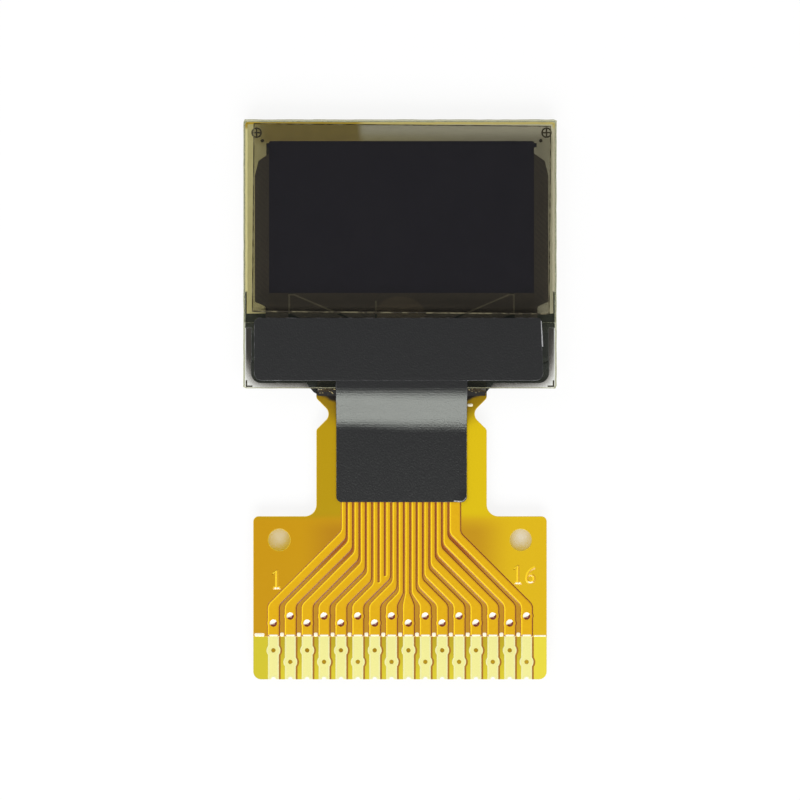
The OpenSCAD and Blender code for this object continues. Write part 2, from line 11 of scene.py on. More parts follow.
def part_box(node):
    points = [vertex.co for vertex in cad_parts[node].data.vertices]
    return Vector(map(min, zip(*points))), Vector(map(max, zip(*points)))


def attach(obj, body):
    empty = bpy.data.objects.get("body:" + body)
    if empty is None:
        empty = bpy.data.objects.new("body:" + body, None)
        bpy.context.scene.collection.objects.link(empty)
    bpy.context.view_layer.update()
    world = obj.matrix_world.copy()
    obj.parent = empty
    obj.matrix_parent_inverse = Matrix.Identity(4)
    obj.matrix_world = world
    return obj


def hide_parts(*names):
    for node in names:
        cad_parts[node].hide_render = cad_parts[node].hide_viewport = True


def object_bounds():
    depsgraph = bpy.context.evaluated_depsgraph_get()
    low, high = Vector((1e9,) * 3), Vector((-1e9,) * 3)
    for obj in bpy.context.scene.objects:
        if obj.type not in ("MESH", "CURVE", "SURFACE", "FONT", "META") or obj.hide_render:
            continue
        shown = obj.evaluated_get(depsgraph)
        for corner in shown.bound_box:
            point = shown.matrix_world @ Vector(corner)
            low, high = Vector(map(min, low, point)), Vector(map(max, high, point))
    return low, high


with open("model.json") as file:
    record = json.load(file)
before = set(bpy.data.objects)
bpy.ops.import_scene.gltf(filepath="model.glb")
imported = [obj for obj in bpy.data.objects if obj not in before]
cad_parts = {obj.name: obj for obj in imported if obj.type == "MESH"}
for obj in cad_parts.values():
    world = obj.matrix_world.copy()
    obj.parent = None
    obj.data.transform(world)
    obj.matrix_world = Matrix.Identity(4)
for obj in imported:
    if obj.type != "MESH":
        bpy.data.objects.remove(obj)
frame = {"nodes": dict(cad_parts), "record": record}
cad_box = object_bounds()

MM = 0.001


# ---- colours and node materials

def rgb(red, green, blue):
    """A colour as it is seen on a screen, 0 to 255, in Blender's linear light."""
    def linear(value):
        value /= 255
        return value / 12.92 if value <= 0.04045 else ((value + 0.055) / 1.055) ** 2.4
    return (linear(red), linear(green), linear(blue), 1)


class Paint:
    """A node material. Its patterns are laid out in millimetres of the part."""

    def __init__(self, name):
        self.material = bpy.data.materials.new(name)
        self.material.use_nodes = True
        self.tree = self.material.node_tree
        self.tree.nodes.clear()
        self.output = self.tree.nodes.new("ShaderNodeOutputMaterial")
        self.place = self.tree.nodes.new("ShaderNodeTexCoord").outputs["Object"]

    def node(self, kind, settings=None, **inputs):
        """A node of that kind. Its inputs are numbers, colours or the sockets of other nodes."""
        made = self.tree.nodes.new("ShaderNode" + kind)
        for name, value in (settings or {}).items():
            setattr(made, name, value)
        for name, value in inputs.items():
            self.feed(made.inputs[name.replace("_", " ")], value)
        return made

    def feed(self, socket, value):
        if isinstance(value, bpy.types.NodeSocket):
            self.tree.links.new(value, socket)
        else:
            socket.default_value = value

    def maths(self, operation, first, second=0.0, clamp=False):
        made = self.node("Math", {"operation": operation, "use_clamp": clamp})
        self.feed(made.inputs[0], first)
        self.feed(made.inputs[1], second)
        return made.outputs[0]

    def plus(self, first, second):
        return self.maths("ADD", first, second)

    def times(self, first, second):
        return self.maths("MULTIPLY", first, second)

    def span(self, value):
        """The value without its sign."""
        return self.maths("ABSOLUTE", value)

    def along(self, axis):
        """The place along X, Y or Z, in millimetres."""
        return self.times(self.node("SeparateXYZ", Vector=self.place).outputs[axis], 1 / MM)

    def lean(self, axis):
        """How far the surface faces along X, Y or Z, from -1 to 1."""
        normal = self.node("TexCoord").outputs["Normal"]
        return self.node("SeparateXYZ", Vector=normal).outputs[axis]

    def rise(self, value, low, high):
        """0 at low, 1 at high, and smooth between them. low may be the greater one."""
        made = self.node("MapRange", {"interpolation_type": "SMOOTHSTEP"}, Value=value)
        self.feed(made.inputs["From Min"], low)
        self.feed(made.inputs["From Max"], high)
        return made.outputs["Result"]

    def noise(self, size, detail=2.0, stretch=(1, 1, 1), shift=(0, 0, 0)):
        """A cloudy pattern from 0 to 1 with spots of about that size."""
        mapping = self.node("Mapping", Vector=self.place)
        mapping.inputs["Scale"].default_value = stretch
        mapping.inputs["Location"].default_value = [part * MM for part in shift]
        made = self.node("TexNoise", Vector=mapping.outputs[0], Scale=1 / (size * MM), Detail=detail)
        return made.outputs["Fac"]

    def ramp(self, value, *stops):
        """A run of colours. Each stop is a place from 0 to 1 and a colour."""
        made = self.node("ValToRGB", Fac=value)
        band = made.color_ramp
        while len(band.elements) < len(stops):
            band.elements.new(0.5)
        for element, (place, colour) in zip(band.elements, stops):
            element.position = place
            element.color = colour
        return made.outputs["Color"]

    def blend(self, factor, first, second):
        """first where factor is 0 and second where it is 1."""
        made = self.node("Mix", {"data_type": "RGBA"})
        self.feed(made.inputs[0], factor)
        self.feed(made.inputs[6], first)
        self.feed(made.inputs[7], second)
        return made.outputs[2]

    def bump(self, height, depth, strength=1.0):
        """A relief that is depth millimetres high."""
        made = self.node("Bump", Height=height, Strength=strength, Distance=depth * MM)
        return made.outputs["Normal"]

    def grazing(self):
        """How far glass mirrors: hardly where it is seen face on, and most from the side."""
        least = 0.02
        most = 0.85
        sharpness = 5.0
        slant = self.maths("POWER", self.node("LayerWeight").outputs["Facing"], sharpness)
        return self.plus(self.times(slant, most), least)

    def principled(self, tone, roughness, **more):
        return self.node("BsdfPrincipled", Base_Color=tone, Roughness=roughness, **more).outputs[0]

    def layered(self, share, first, second):
        """The surface first where share is 0, and second where it is 1."""
        made = self.node("MixShader")
        for socket, value in zip(made.inputs, (share, first, second)):
            self.feed(socket, value)
        return made.outputs[0]

    def finish(self, surface):
        self.feed(self.output.inputs["Surface"], surface)
        return self.material

    def plain(self, tone, roughness, **more):
        """Ends the material with one surface of that tone."""
        return self.finish(self.principled(tone, roughness, **more))

    def clear(self, tint, share, tone, roughness, **more):
        """Ends the material with a surface of that tone where share is 1, and a clear tint where it is 0."""
        gap = self.node("BsdfTransparent", Color=tint).outputs[0]
        return self.finish(self.layered(share, gap, self.principled(tone, roughness, **more)))


# ---- sizes that the CAD and the looks share

def corners(node):
    """The lowest and the highest corner of a CAD node."""
    low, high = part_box(node)
    return Vector(low) / MM, Vector(high) / MM


GLASS_LOW, GLASS_HIGH = corners("front_glass")
FILM_LOW, FILM_HIGH = corners("screen_film")
BASE_LOW, BASE_HIGH = corners("tail_base")
COVER_LOW, COVER_HIGH = corners("front_coverlay")
BACK_COVER_LOW, BACK_COVER_HIGH = corners("back_coverlay")
BOND_LOW, BOND_HIGH = corners("tail_bond_film")
POLARIZER_LOW, POLARIZER_HIGH = corners("polarizer")
TAPE_LOW, TAPE_HIGH = corners("front_tape")
BACK_TAPE_LOW, BACK_TAPE_HIGH = corners("back_tape")
CHIP_LOW, CHIP_HIGH = corners("driver_chip")
CAP_FOOT = corners("cap_glass")[0].y

# Parts faces that would lie in one plane
AIR = 0.002
# How far the other films stop short of the base film's edges
EDGE_GAP = 0.05
FILM_X = (FILM_LOW.x + FILM_HIGH.x) / 2
GLASS_FOOT = GLASS_LOW.y
TAIL_SIDE = BASE_HIGH.x
TAIL_FOOT = BASE_LOW.y
TAIL_TOP = BACK_COVER_HIGH.y + EDGE_GAP
COVER_FOOT = COVER_LOW.y
NECK_LEFT = BOND_LOW.x - EDGE_GAP
NECK_RIGHT = BOND_HIGH.x + EDGE_GAP
BOND_TOP = BASE_HIGH.y

COPPER_LOW = BASE_HIGH.z
COPPER_HIGH = BOND_LOW.z
COVER_TOP = COVER_HIGH.z

WAIST_Y = GLASS_FOOT - 0.98
WAIST_HALF = 0.6
WAIST_RADIUS = 0.33
WAIST_END_RADIUS = 0.17
SHOULDER_RADIUS = 0.45
TAIL_TOP_RADIUS = 0.2
TAIL_CORNER_RADIUS = 0.3
LOCATING_RADIUS = 0.42
LOCATING_X = TAIL_SIDE - 1
LOCATING_Y = TAIL_TOP - 0.91

PIN_COUNT = 16
PINS = range(1, PIN_COUNT + 1)
PAD_PITCH = 0.65
PAD_WIDTH = 0.42
LINE_COUNT = 17
LINE_PITCH = 0.2445
LINE_WIDTH = 0.15
WIDE_LINE_WIDTH = 0.4
LINES_LEFT = 0.04 - (LINE_COUNT * LINE_PITCH + WIDE_LINE_WIDTH) / 2
WIDE_LEFT = LINES_LEFT + LINE_COUNT * LINE_PITCH
SHARED_PIN = 6
SHARED_LINES = 3
SLANT_WIDTH = 0.3
SLOT_RISE = 0.06
TAPER_MIN = 0.45
BEND_Y = TAIL_TOP - 3.41
BEND_RADIUS = 0.34
HOLE_RADIUS = 0.085
DRILL_RADIUS = 0.105
CONTACT_RING = 0.27
COVERED_RING = 0.23


# ---- outlines

def rounded(corners_and_radii, steps=8):
    """A loop of (x, y, radius) corners as points, with an arc at each corner that has a radius."""
    loop = []
    count = len(corners_and_radii)
    for k, (x, y, radius) in enumerate(corners_and_radii):
        at = Vector((x, y))
        if radius == 0:
            loop.append(at)
            continue
        before = (Vector(corners_and_radii[k - 1][:2]) - at).normalized()
        after = (Vector(corners_and_radii[(k + 1) % count][:2]) - at).normalized()
        half = before.angle(after) / 2
        centre = at + (before + after).normalized() * radius / math.sin(half)
        start = at + before * radius / math.tan(half) - centre
        end = at + after * radius / math.tan(half) - centre
        first = math.atan2(start.y, start.x)
        turn = (math.atan2(end.y, end.x) - first + math.pi) % (2 * math.pi) - math.pi
        loop += arc(centre, radius, first, first + turn, steps)
    return loop


def arc(centre, radius, start, end, steps=8):
    """Points on an arc between two angles."""
    angles = [start + (end - start) * k / steps for k in range(steps + 1)]
    return [Vector((centre[0] + radius * math.cos(a), centre[1] + radius * math.sin(a))) for a in angles]


def circle(x, y, radius, steps=32):
    return arc((x, y), radius, 0, 2 * math.pi, steps)[:-1]


def rectangle(left, right, foot, top, radius=0.0):
    return rounded([(left, foot, radius), (right, foot, radius), (right, top, radius), (left, top, radius)])


def grown(loop, amount):
    """The loop with each edge moved outwards by amount, or inwards where it is negative."""
    moved = []
    for k, at in enumerate(loop):
        before = (at - loop[k - 1]).normalized()
        after = (loop[(k + 1) % len(loop)] - at).normalized()
        first = Vector((before.y, -before.x))
        second = Vector((after.y, -after.x))
        moved.append(at + (first + second) * amount / max(0.5, 1 + first.dot(second)))
    return moved


def sharp(points):
    """The points as corners without a radius."""
    return [(*at, 0) for at in points]


def mirrored(points):
    """(x, y, radius) corners on the other side of the middle line, in reverse order."""
    return [(-x, y, radius) for x, y, radius in reversed(points)]


def pad_x(pin):
    return (pin - (PIN_COUNT + 1) / 2) * PAD_PITCH


def line_x(line):
    return LINES_LEFT + LINE_WIDTH / 2 + (line - 1) * LINE_PITCH


def contact_hole_y(pin):
    return TAIL_FOOT + (1.12 if pin % 2 else 0.675)


def covered_hole_y(pin):
    return COVER_FOOT + (0.53 if pin % 2 else 0.8)


def first_line(pin):
    return pin if pin <= SHARED_PIN else pin + SHARED_LINES - 1


def last_line(pin):
    return pin if pin < SHARED_PIN else pin + SHARED_LINES - 1


def line_edges(pin):
    """The left and right edge of a pin's copper in the neck."""
    if pin == PIN_COUNT:
        return WIDE_LEFT, WIDE_LEFT + WIDE_LINE_WIDTH
    return line_x(first_line(pin)) - LINE_WIDTH / 2, line_x(last_line(pin)) + LINE_WIDTH / 2


def bulge(x, y, side, radius):
    """The stretch of a ring that stands out of a contact's edge. side is -1 for left, 1 for right."""
    reach = math.acos(PAD_WIDTH / 2 / radius)
    middle = 0 if side > 0 else math.pi
    return sharp(arc((x, y), radius, middle - reach, middle + reach))


def half_hole(x, y, radius):
    """The notch that a plated half-hole leaves in the tail's foot, if it has a radius."""
    return sharp(arc((x, y), radius, math.pi, 0)) if radius else []


def locating_holes():
    return [circle(side * LOCATING_X, LOCATING_Y, LOCATING_RADIUS, 48) for side in (-1, 1)]


def pad_corners(x, rings, foot, notch=0.0):
    """A pad's corners, down its left side and up its right. rings are (y, radius), from the highest."""
    half = PAD_WIDTH / 2
    points = []
    for y, radius in rings:
        points += bulge(x, y, -1, radius)
    points += [(x - half, foot, 0), *half_hole(x, foot, notch), (x + half, foot, 0)]
    for y, radius in reversed(rings):
        points += bulge(x, y, 1, radius)
    return points


def copper_loop(pin, top, foot, notch=0.0):
    """The outline of one pin's front copper between two heights along Y."""
    x = pad_x(pin)
    half = PAD_WIDTH / 2
    left, right = line_edges(pin)
    spread = half - SLANT_WIDTH / math.sqrt(2)
    outward = -1 if x < (left + right) / 2 else 1
    left_rise = max(TAPER_MIN, abs(left - x + half) + spread * outward)
    right_rise = max(TAPER_MIN, abs(right - x - half) - spread * outward)
    rings = [(covered_hole_y(pin), COVERED_RING)]
    if foot < contact_hole_y(pin):
        rings.append((contact_hole_y(pin), CONTACT_RING))
    points = [(left, top, 0), (left, BEND_Y + left_rise, BEND_RADIUS), (x - half, BEND_Y, BEND_RADIUS)]
    points += pad_corners(x, rings, foot, notch)
    points += [(x + half, BEND_Y, BEND_RADIUS), (right, BEND_Y + right_rise, BEND_RADIUS), (right, top, 0)]
    for line in range(last_line(pin) - 1, first_line(pin) - 1, -1):
        slot = (line_x(line) + line_x(line + 1)) / 2
        slot_half = (LINE_PITCH - LINE_WIDTH) / 2
        slot_foot = BEND_Y + slot - x + SLOT_RISE + slot_half
        points.append((slot + slot_half, top, 0))
        points += sharp(arc((slot, slot_foot), slot_half, 0, -math.pi))
        points.append((slot - slot_half, top, 0))
    return rounded(points)


def contact_loop(pin, foot):
    """The outline of one bare contact, from just under the cover film down to foot."""
    x = pad_x(pin)
    half = PAD_WIDTH / 2
    top = COVER_FOOT + 0.05
    contact = pad_corners(x, [(contact_hole_y(pin), CONTACT_RING)], foot)
    return rounded([(x - half, top, 0), *contact, (x + half, top, 0)])


def back_contact_loop(pin):
    """The outline of one pin's copper on the back, which ends in a ring round the covered hole."""
    x = pad_x(pin)
    half = PAD_WIDTH / 2
    reach = math.acos(half / COVERED_RING)
    contact = pad_corners(x, [(contact_hole_y(pin), CONTACT_RING)], TAIL_FOOT, HOLE_RADIUS)
    ring = sharp(arc((x, covered_hole_y(pin)), COVERED_RING, -reach, math.pi + reach, 16))
    return rounded([(x - half, covered_hole_y(pin), 0), *contact, *ring])


def neck_edge(x, inward, top):
    """One side of the neck, from top down to the shoulder. inward is 1 on the left and -1 on the right."""
    side = [(x, top, 0)]
    if top > WAIST_Y + WAIST_HALF:
        side += [(x, WAIST_Y + WAIST_HALF, WAIST_END_RADIUS),
                 (x + inward * WAIST_HALF, WAIST_Y, WAIST_RADIUS),
                 (x, WAIST_Y - WAIST_HALF, WAIST_END_RADIUS)]
    return side + [(x, TAIL_TOP, SHOULDER_RADIUS)]


def tail_loop(top, foot, notch=0.0):
    """The outline of the tail between two heights along Y."""
    left = neck_edge(NECK_LEFT, 1, top) if top > TAIL_TOP else []
    right = neck_edge(NECK_RIGHT, -1, top) if top > TAIL_TOP else []
    height = min(top, TAIL_TOP)
    foot_radius = TAIL_CORNER_RADIUS if foot == TAIL_FOOT else 0
    left += [(-TAIL_SIDE, height, TAIL_TOP_RADIUS), (-TAIL_SIDE, foot, foot_radius)]
    right += [(TAIL_SIDE, height, TAIL_TOP_RADIUS), (TAIL_SIDE, foot, foot_radius)]
    middle = [corner for pin in PINS for corner in half_hole(pad_x(pin), foot, notch)]
    return rounded(left + middle + right[::-1])


# ---- meshes

class Shell:
    """Gathers a piece's points, in millimetres, and its faces. A face's kind picks its material."""

    def __init__(self):
        self.points = []
        self.faces = []
        self.kinds = []

    def ring(self, loop, height):
        """Adds a loop at a height, which is a number or a function of x and y. Returns its point numbers."""
        first = len(self.points)
        for x, y in loop:
            self.points.append((x, y, height(x, y) if callable(height) else height))
        return list(range(first, len(self.points)))

    def face(self, numbers, kind):
        self.faces.append(numbers)
        self.kinds.append(kind)

    def wall(self, lower, upper, kind=0):
        """Joins two rings of the same length. It faces outwards if they run anticlockwise."""
        count = len(lower)
        for k in range(count):
            after = (k + 1) % count
            self.face((lower[k], lower[after], upper[after], upper[k]), kind)

    def walls(self, rings, kind):
        """Joins a run of rings, from the foot up on an outer side and from the top down in a hole."""
        for lower, upper in zip(rings, rings[1:]):
            self.wall(lower, upper, kind)

    def cap(self, outer, holes=(), kind=0, up=True, height=None, inner=(), zones=()):
        """Fills a ring except for its holes. inner are loose points. A zone is a loop and its own kind."""
        rings = [outer, *holes]
        numbers = [n for ring in rings for n in ring]
        flat = [Vector(self.points[n][:2]) for n in numbers]
        loops = []
        start = 0
        for count in [len(ring) for ring in rings] + [len(loop) for loop, _ in zones]:
            loops.append(list(range(start, start + count)))
            start += count
        for loop, _ in zones:
            flat += loop
        flat += list(inner)
        places, _, triangles, sources, _, owners = delaunay_2d_cdt(flat, [], loops, 1, 1e-7)
        level = height or (lambda x, y: self.points[outer[0]][2])
        found = {}
        for triangle, inside in zip(triangles, owners):
            if 0 not in inside or any(0 < loop < len(rings) for loop in inside):
                continue
            ends = []
            for place in triangle:
                known = [source for source in sources[place] if source < len(numbers)]
                if not known and place not in found:
                    x, y = places[place]
                    found[place] = len(self.points)
                    self.points.append((x, y, level(x, y)))
                ends.append(numbers[known[0]] if known else found[place])
            (ax, ay), (bx, by), (cx, cy) = (places[place] for place in triangle)
            if ((bx - ax) * (cy - ay) - (by - ay) * (cx - ax) > 0) != up:
                ends.reverse()
            marked = [zones[loop - len(rings)][1] for loop in inside if loop >= len(rings)]
            self.face(tuple(ends), max(marked, default=kind))

    def slab(self, loop, low, high, holes=(), edge=0.0, kind=0, side_kind=None, zones=()):
        """A plate between two heights, with its upper edges rounded where edge isn't 0."""
        side_kind = kind if side_kind is None else side_kind
        feet = [self.ring(one, low) for one in (loop, *holes)]
        tops = []
        for foot, one, sign in zip(feet, (loop, *holes), [-1] + [1] * len(holes)):
            profile = [(0, high)]
            if edge:
                profile = [(0, high - edge), (0.3 * edge, high - 0.3 * edge), (edge, high)]
            last = foot
            for inset, height in profile:
                ring = self.ring(grown(one, sign * inset) if inset else one, height)
                self.wall(*((last, ring) if sign < 0 else (ring, last)), side_kind)
                last = ring
            tops.append(last)
        self.cap(feet[0], feet[1:], kind, up=False)
        self.cap(tops[0], tops[1:], kind, zones=zones)


def placed(name, data):
    """A new object in the scene."""
    made = bpy.data.objects.new(name, data)
    bpy.context.scene.collection.objects.link(made)
    return made


def piece(name, shell, materials, slot, *nodes):
    """Makes the shell an object that stands for those CAD nodes."""
    mesh = bpy.data.meshes.new(name)
    mesh.from_pydata([[part * MM for part in point] for point in shell.points], [], shell.faces)
    mesh.validate()
    for material in materials:
        mesh.materials.append(material)
    mesh.polygons.foreach_set("material_index", shell.kinds)
    mesh.update()
    made = placed(name, mesh)
    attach(made, "root")
    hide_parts(*nodes)


# ---- materials

CLEAR_GLASS = rgb(252, 253, 251)
# The height along Y from which the tail lies between the two black tapes
TAPED_FROM = -7.0


def speckled(name, size, detail, first, second, roughness, relief=None, **more):
    """A material of two colours in spots of about that size. relief is the spots' depth and strength."""
    paint = Paint(name)
    spots = paint.noise(size, detail)
    if relief:
        more["Normal"] = paint.bump(spots, *relief)
    return paint.plain(paint.blend(spots, first, second), roughness, **more)


def left_to_right(paint, left, right, start=-5.2, end=5.2):
    """left at the part's left side, right at its right side."""
    return paint.blend(paint.rise(paint.along("X"), start, end), left, right)


def taped(paint, tone, dark):
    """tone, and dark where the black tapes show through the tail."""
    return paint.blend(paint.rise(paint.along("Y"), TAPED_FROM, TAPED_FROM + 0.1), tone, dark)


def sided(name, x, y, start, end, away, toward, roughness):
    """A material that turns from away to toward as the surface leans towards the direction x, y, which
    paints light and shade by the way the surface faces.
    """
    paint = Paint(name)
    lean = paint.plus(paint.times(paint.lean("X"), x), paint.times(paint.lean("Y"), y))
    return paint.plain(paint.blend(paint.rise(lean, start, end), away, toward), roughness)


def amber_edge(name, first, second, dark, roughness):
    """The cut edge of an amber film, which is dark between the tapes."""
    paint = Paint(name)
    amber = paint.blend(paint.noise(0.2, 2), first, second)
    return paint.plain(taped(paint, amber, dark), roughness)


def frosted(paint, chip):
    """The slightly green tone of cut glass."""
    return paint.blend(chip, rgb(120, 118, 84), rgb(214, 212, 180))


def glass_paint():
    """Clear float glass, seen through its flat faces."""
    paint = Paint("float_glass")
    smear = paint.blend(paint.noise(1.2, 3), rgb(196, 202, 190), rgb(150, 158, 148))
    return paint.clear(CLEAR_GLASS, paint.grazing(), smear, 0.06)


def cap_glass_paint():
    """Clear float glass with frosted cut edges, for the cap, which is one solid."""
    paint = Paint("cap_float_glass")
    side = paint.rise(paint.span(paint.lean("Z")), 0.7, 0.3)
    share = paint.maths("MAXIMUM", paint.times(side, 0.5), paint.grazing())
    return paint.clear(rgb(244, 246, 238), share, frosted(paint, paint.noise(0.09, 3)), 0.2)


def cut_edge_paint():
    """The frosted edge of the front glass."""
    paint = Paint("cut_glass_edge")
    chip = paint.noise(0.09, 3)
    relief = paint.bump(chip, 0.03, 0.8)
    return paint.clear(rgb(228, 230, 208), 0.45, frosted(paint, chip), 0.22, Normal=relief)


def seam_paint():
    """Adhesive that has crept out to the rim of the glass. The bare ledge has none."""
    paint = Paint("seal_at_rim")
    x, y = paint.along("X"), paint.along("Y")
    cloud = paint.noise(0.4, 3)
    left = paint.blend(cloud, rgb(255, 244, 186), rgb(240, 228, 168))
    right = paint.blend(cloud, rgb(222, 214, 192), rgb(208, 200, 176))
    top = paint.rise(y, 3.3, 3.5)
    tone = paint.blend(top, left_to_right(paint, left, right, -4, 4.6), rgb(232, 212, 136))
    tone = paint.blend(paint.times(paint.rise(x, -1.3, -1.7), top), tone, rgb(196, 164, 52))
    return paint.clear(CLEAR_GLASS, paint.rise(y, -2.95, -2.85), tone, 0.3)


def polarizer_paint():
    """Grey polarizing film with a smooth face."""
    paint = Paint("polarizing_film")
    grain = paint.blend(paint.noise(0.06, 2), rgb(8, 8, 12), rgb(15, 14, 20))
    return paint.clear(rgb(253, 252, 252), 0.42, grain, 0.14)


def polarizer_edge_paint():
    """The cut edge of the polarizing film. Its pale patches are painted glints where it catches the light.
    """
    paint = Paint("polarizer_edge")
    pale_patches = paint.rise(paint.noise(0.3, 4, stretch=(1, 1, 0.2)), 0.42, 0.62)
    tone = paint.blend(pale_patches, rgb(44, 38, 26), rgb(108, 102, 78))
    return paint.clear(rgb(180, 172, 140), 0.8, tone, 0.5, Specular_IOR_Level=0.15)


def screen_paint():
    """The black screen behind the polarizer."""
    return speckled("dark_screen", 0.05, 3, rgb(24, 18, 35), rgb(34, 27, 46), 0.5)


def routing_paint():
    """Fine brown lines beside and under the screen, with a paler dome under its middle."""
    paint = Paint("brown_routing")
    x, y = paint.along("X"), paint.along("Y")
    plain = paint.blend(paint.noise(0.08, 2), rgb(74, 65, 54), rgb(86, 76, 62))
    wide = paint.maths("DIVIDE", x, 0.97)
    high = paint.maths("DIVIDE", paint.plus(y, 3.78), 0.7)
    away = paint.plus(paint.times(wide, wide), paint.times(high, high))
    dome = paint.blend(paint.rise(away, 1.1, 0.85), plain, rgb(100, 87, 68))
    lines = paint.node("TexWave", {"wave_type": "BANDS", "bands_direction": "DIAGONAL"},
                       Vector=paint.place, Scale=1 / (0.35 * MM)).outputs["Fac"]
    combed = paint.blend(lines, rgb(78, 69, 60), rgb(86, 77, 65))
    side = paint.rise(paint.span(paint.plus(x, -FILM_X)), 5.05, 5.2)
    return paint.plain(paint.blend(side, dome, combed), 0.4)


def marks_paint():
    """The etched metal of the marks."""
    return speckled("etched_marks", 0.05, 2, rgb(60, 52, 38), rgb(84, 74, 54), 0.35)


def seal_paint():
    """Pale yellow adhesive between the two glasses, over the black tape at its foot."""
    paint = Paint("yellow_seal")
    x, y = paint.along("X"), paint.along("Y")
    cloud = paint.noise(0.5, 3)
    left = paint.blend(cloud, rgb(214, 202, 150), rgb(196, 182, 128))
    right = paint.blend(cloud, rgb(190, 182, 158), rgb(174, 166, 140))
    tone = left_to_right(paint, left, right, -4, 4.6)
    yellow = paint.blend(cloud, rgb(178, 156, 92), rgb(160, 140, 80))
    corner = paint.times(paint.rise(x, -1.3, -1.7), paint.rise(y, 2.6, 3.0))
    tone = paint.blend(paint.times(corner, paint.rise(x, -5.9, -5.0)), tone, yellow)
    # Painted shade: right of the middle the seal is lighter at its top and darker towards the screen
    bright = paint.times(paint.rise(x, -1.7, -1.3), paint.rise(y, 2.9, 3.4))
    tone = paint.blend(bright, tone, rgb(226, 218, 196))
    covered = paint.times(paint.rise(paint.span(x), 5.25, 5.1), paint.rise(y, -2.7, -2.95))
    return paint.plain(paint.blend(covered, tone, rgb(126, 116, 94)), 0.3)


def desiccant_paint():
    """The chalky getter sheet in the cap."""
    return speckled("getter_sheet", 0.2, 4, rgb(206, 204, 196), rgb(224, 222, 214), 0.9)


def silicon_paint():
    """Ground silicon, with fine streaks."""
    paint = Paint("ground_silicon")
    streak = paint.noise(0.05, 2, stretch=(0.1, 1, 1))
    return paint.plain(paint.blend(streak, rgb(96, 96, 104), rgb(122, 122, 128)), 0.3, Metallic=0.3)


def bond_paint():
    """The cured film that joins the chip and the tail to the glass."""
    return speckled("bonding_film", 0.15, 3, rgb(44, 38, 26), rgb(64, 56, 36), 0.4)


def resin_paint():
    """Cured resin in the corner between the glass and the tail, dark, with painted glints."""
    paint = Paint("clear_resin")
    glint = paint.rise(paint.noise(0.12, 3), 0.62, 0.72)
    tone = paint.blend(glint, rgb(24, 21, 19), rgb(196, 180, 130))
    return paint.clear(rgb(235, 225, 190), 0.94, tone, 0.12)


def cover_field_paint():
    """Cover film over bare base film, with the black tape showing through at the top."""
    paint = Paint("cover_over_base")
    x, y = paint.along("X"), paint.along("Y")
    # These ambers, and the brown below, are lighter towards the right: painted light
    neck = left_to_right(paint, rgb(181, 147, 2), rgb(218, 187, 6), -3, 3)
    wide = left_to_right(paint, rgb(197, 146, 2), rgb(218, 179, 16))
    amber = paint.blend(paint.rise(y, -11.75, -11.45), wide, neck)
    inner = paint.rise(paint.span(paint.plus(x, -0.2)), 4.2, 2.6)
    low = paint.rise(y, -11.3, -12.2)
    brown = left_to_right(paint, rgb(180, 126, 12), rgb(194, 146, 18))
    amber = paint.blend(paint.times(inner, low), amber, brown)
    arched = paint.maths("SUBTRACT", y, paint.times(paint.span(x), 0.4))
    ragged = paint.plus(arched, paint.times(paint.noise(0.25, 3), 0.16))
    amber = paint.blend(paint.rise(ragged, -9.2, -8.2), amber, rgb(152, 120, 6))
    tone = paint.blend(paint.rise(ragged, -8.12, -7.98), amber, rgb(38, 34, 30))
    return paint.plain(tone, 0.3, Normal=paint.bump(paint.noise(0.7, 4), 0.02, 0.25))


def cover_gap_paint():
    """Cover film between the traces: brown, with painted shade that makes the narrow gaps of the neck
    darker.
    """
    paint = Paint("cover_between_traces")
    brown = paint.blend(paint.noise(0.3, 3), rgb(182, 130, 24), rgb(194, 144, 32))
    # Painted shade: darker brown in the narrow gaps of the neck
    neck = paint.rise(paint.along("Y"), -14.2, -12.6)
    return paint.plain(paint.blend(neck, brown, rgb(158, 86, 14)), 0.3)


def cover_footing_shade_paint():
    """The foot of the step over a trace, in painted shade that is darkest on the right."""
    return sided("cover_step_foot_shade", 1, -0.2, -0.1, 0.12, rgb(176, 112, 22), rgb(128, 56, 12), 0.35)


def cover_shoulder_highlight_paint():
    """The upper edge of the step over a trace, with a painted highlight that is brightest on the left."""
    return sided("cover_step_edge_highlight", -1, 0.4, -0.06, 0.06, rgb(212, 160, 24), rgb(252, 212, 34), 0.25)


def cover_crown_paint():
    """Cover film over copper."""
    return speckled("cover_over_copper", 0.12, 3, rgb(216, 164, 8), rgb(228, 180, 14), 0.28)


def dimple_paint():
    """Cover film that sinks into a plated hole, with a painted highlight on its far wall and painted shade
    on the rest of the hollow.
    """
    return sided("cover_over_hole", 0.5, -1, -0.05, 0.08, rgb(126, 44, 10), rgb(252, 248, 232), 0.15)


def bead_and_glint_paint():
    """The milky bead of adhesive that is squeezed out along the film's foot. Its near-white tone is partly
    painted highlight where the bead catches the light, and the pin numbers use it as a painted glint.
    """
    return speckled("adhesive_bead_and_glint", 0.06, 2, rgb(255, 240, 206), rgb(252, 250, 226), 0.2)


def cover_edge_paint():
    return amber_edge("cover_cut_edge", rgb(206, 168, 20), rgb(232, 200, 50), rgb(40, 35, 28), 0.3)


def back_cover_paint():
    """The cover film behind the tail."""
    return speckled("back_cover", 0.9, 4, rgb(196, 142, 18), rgb(212, 160, 26), 0.3, (0.02, 0.25))


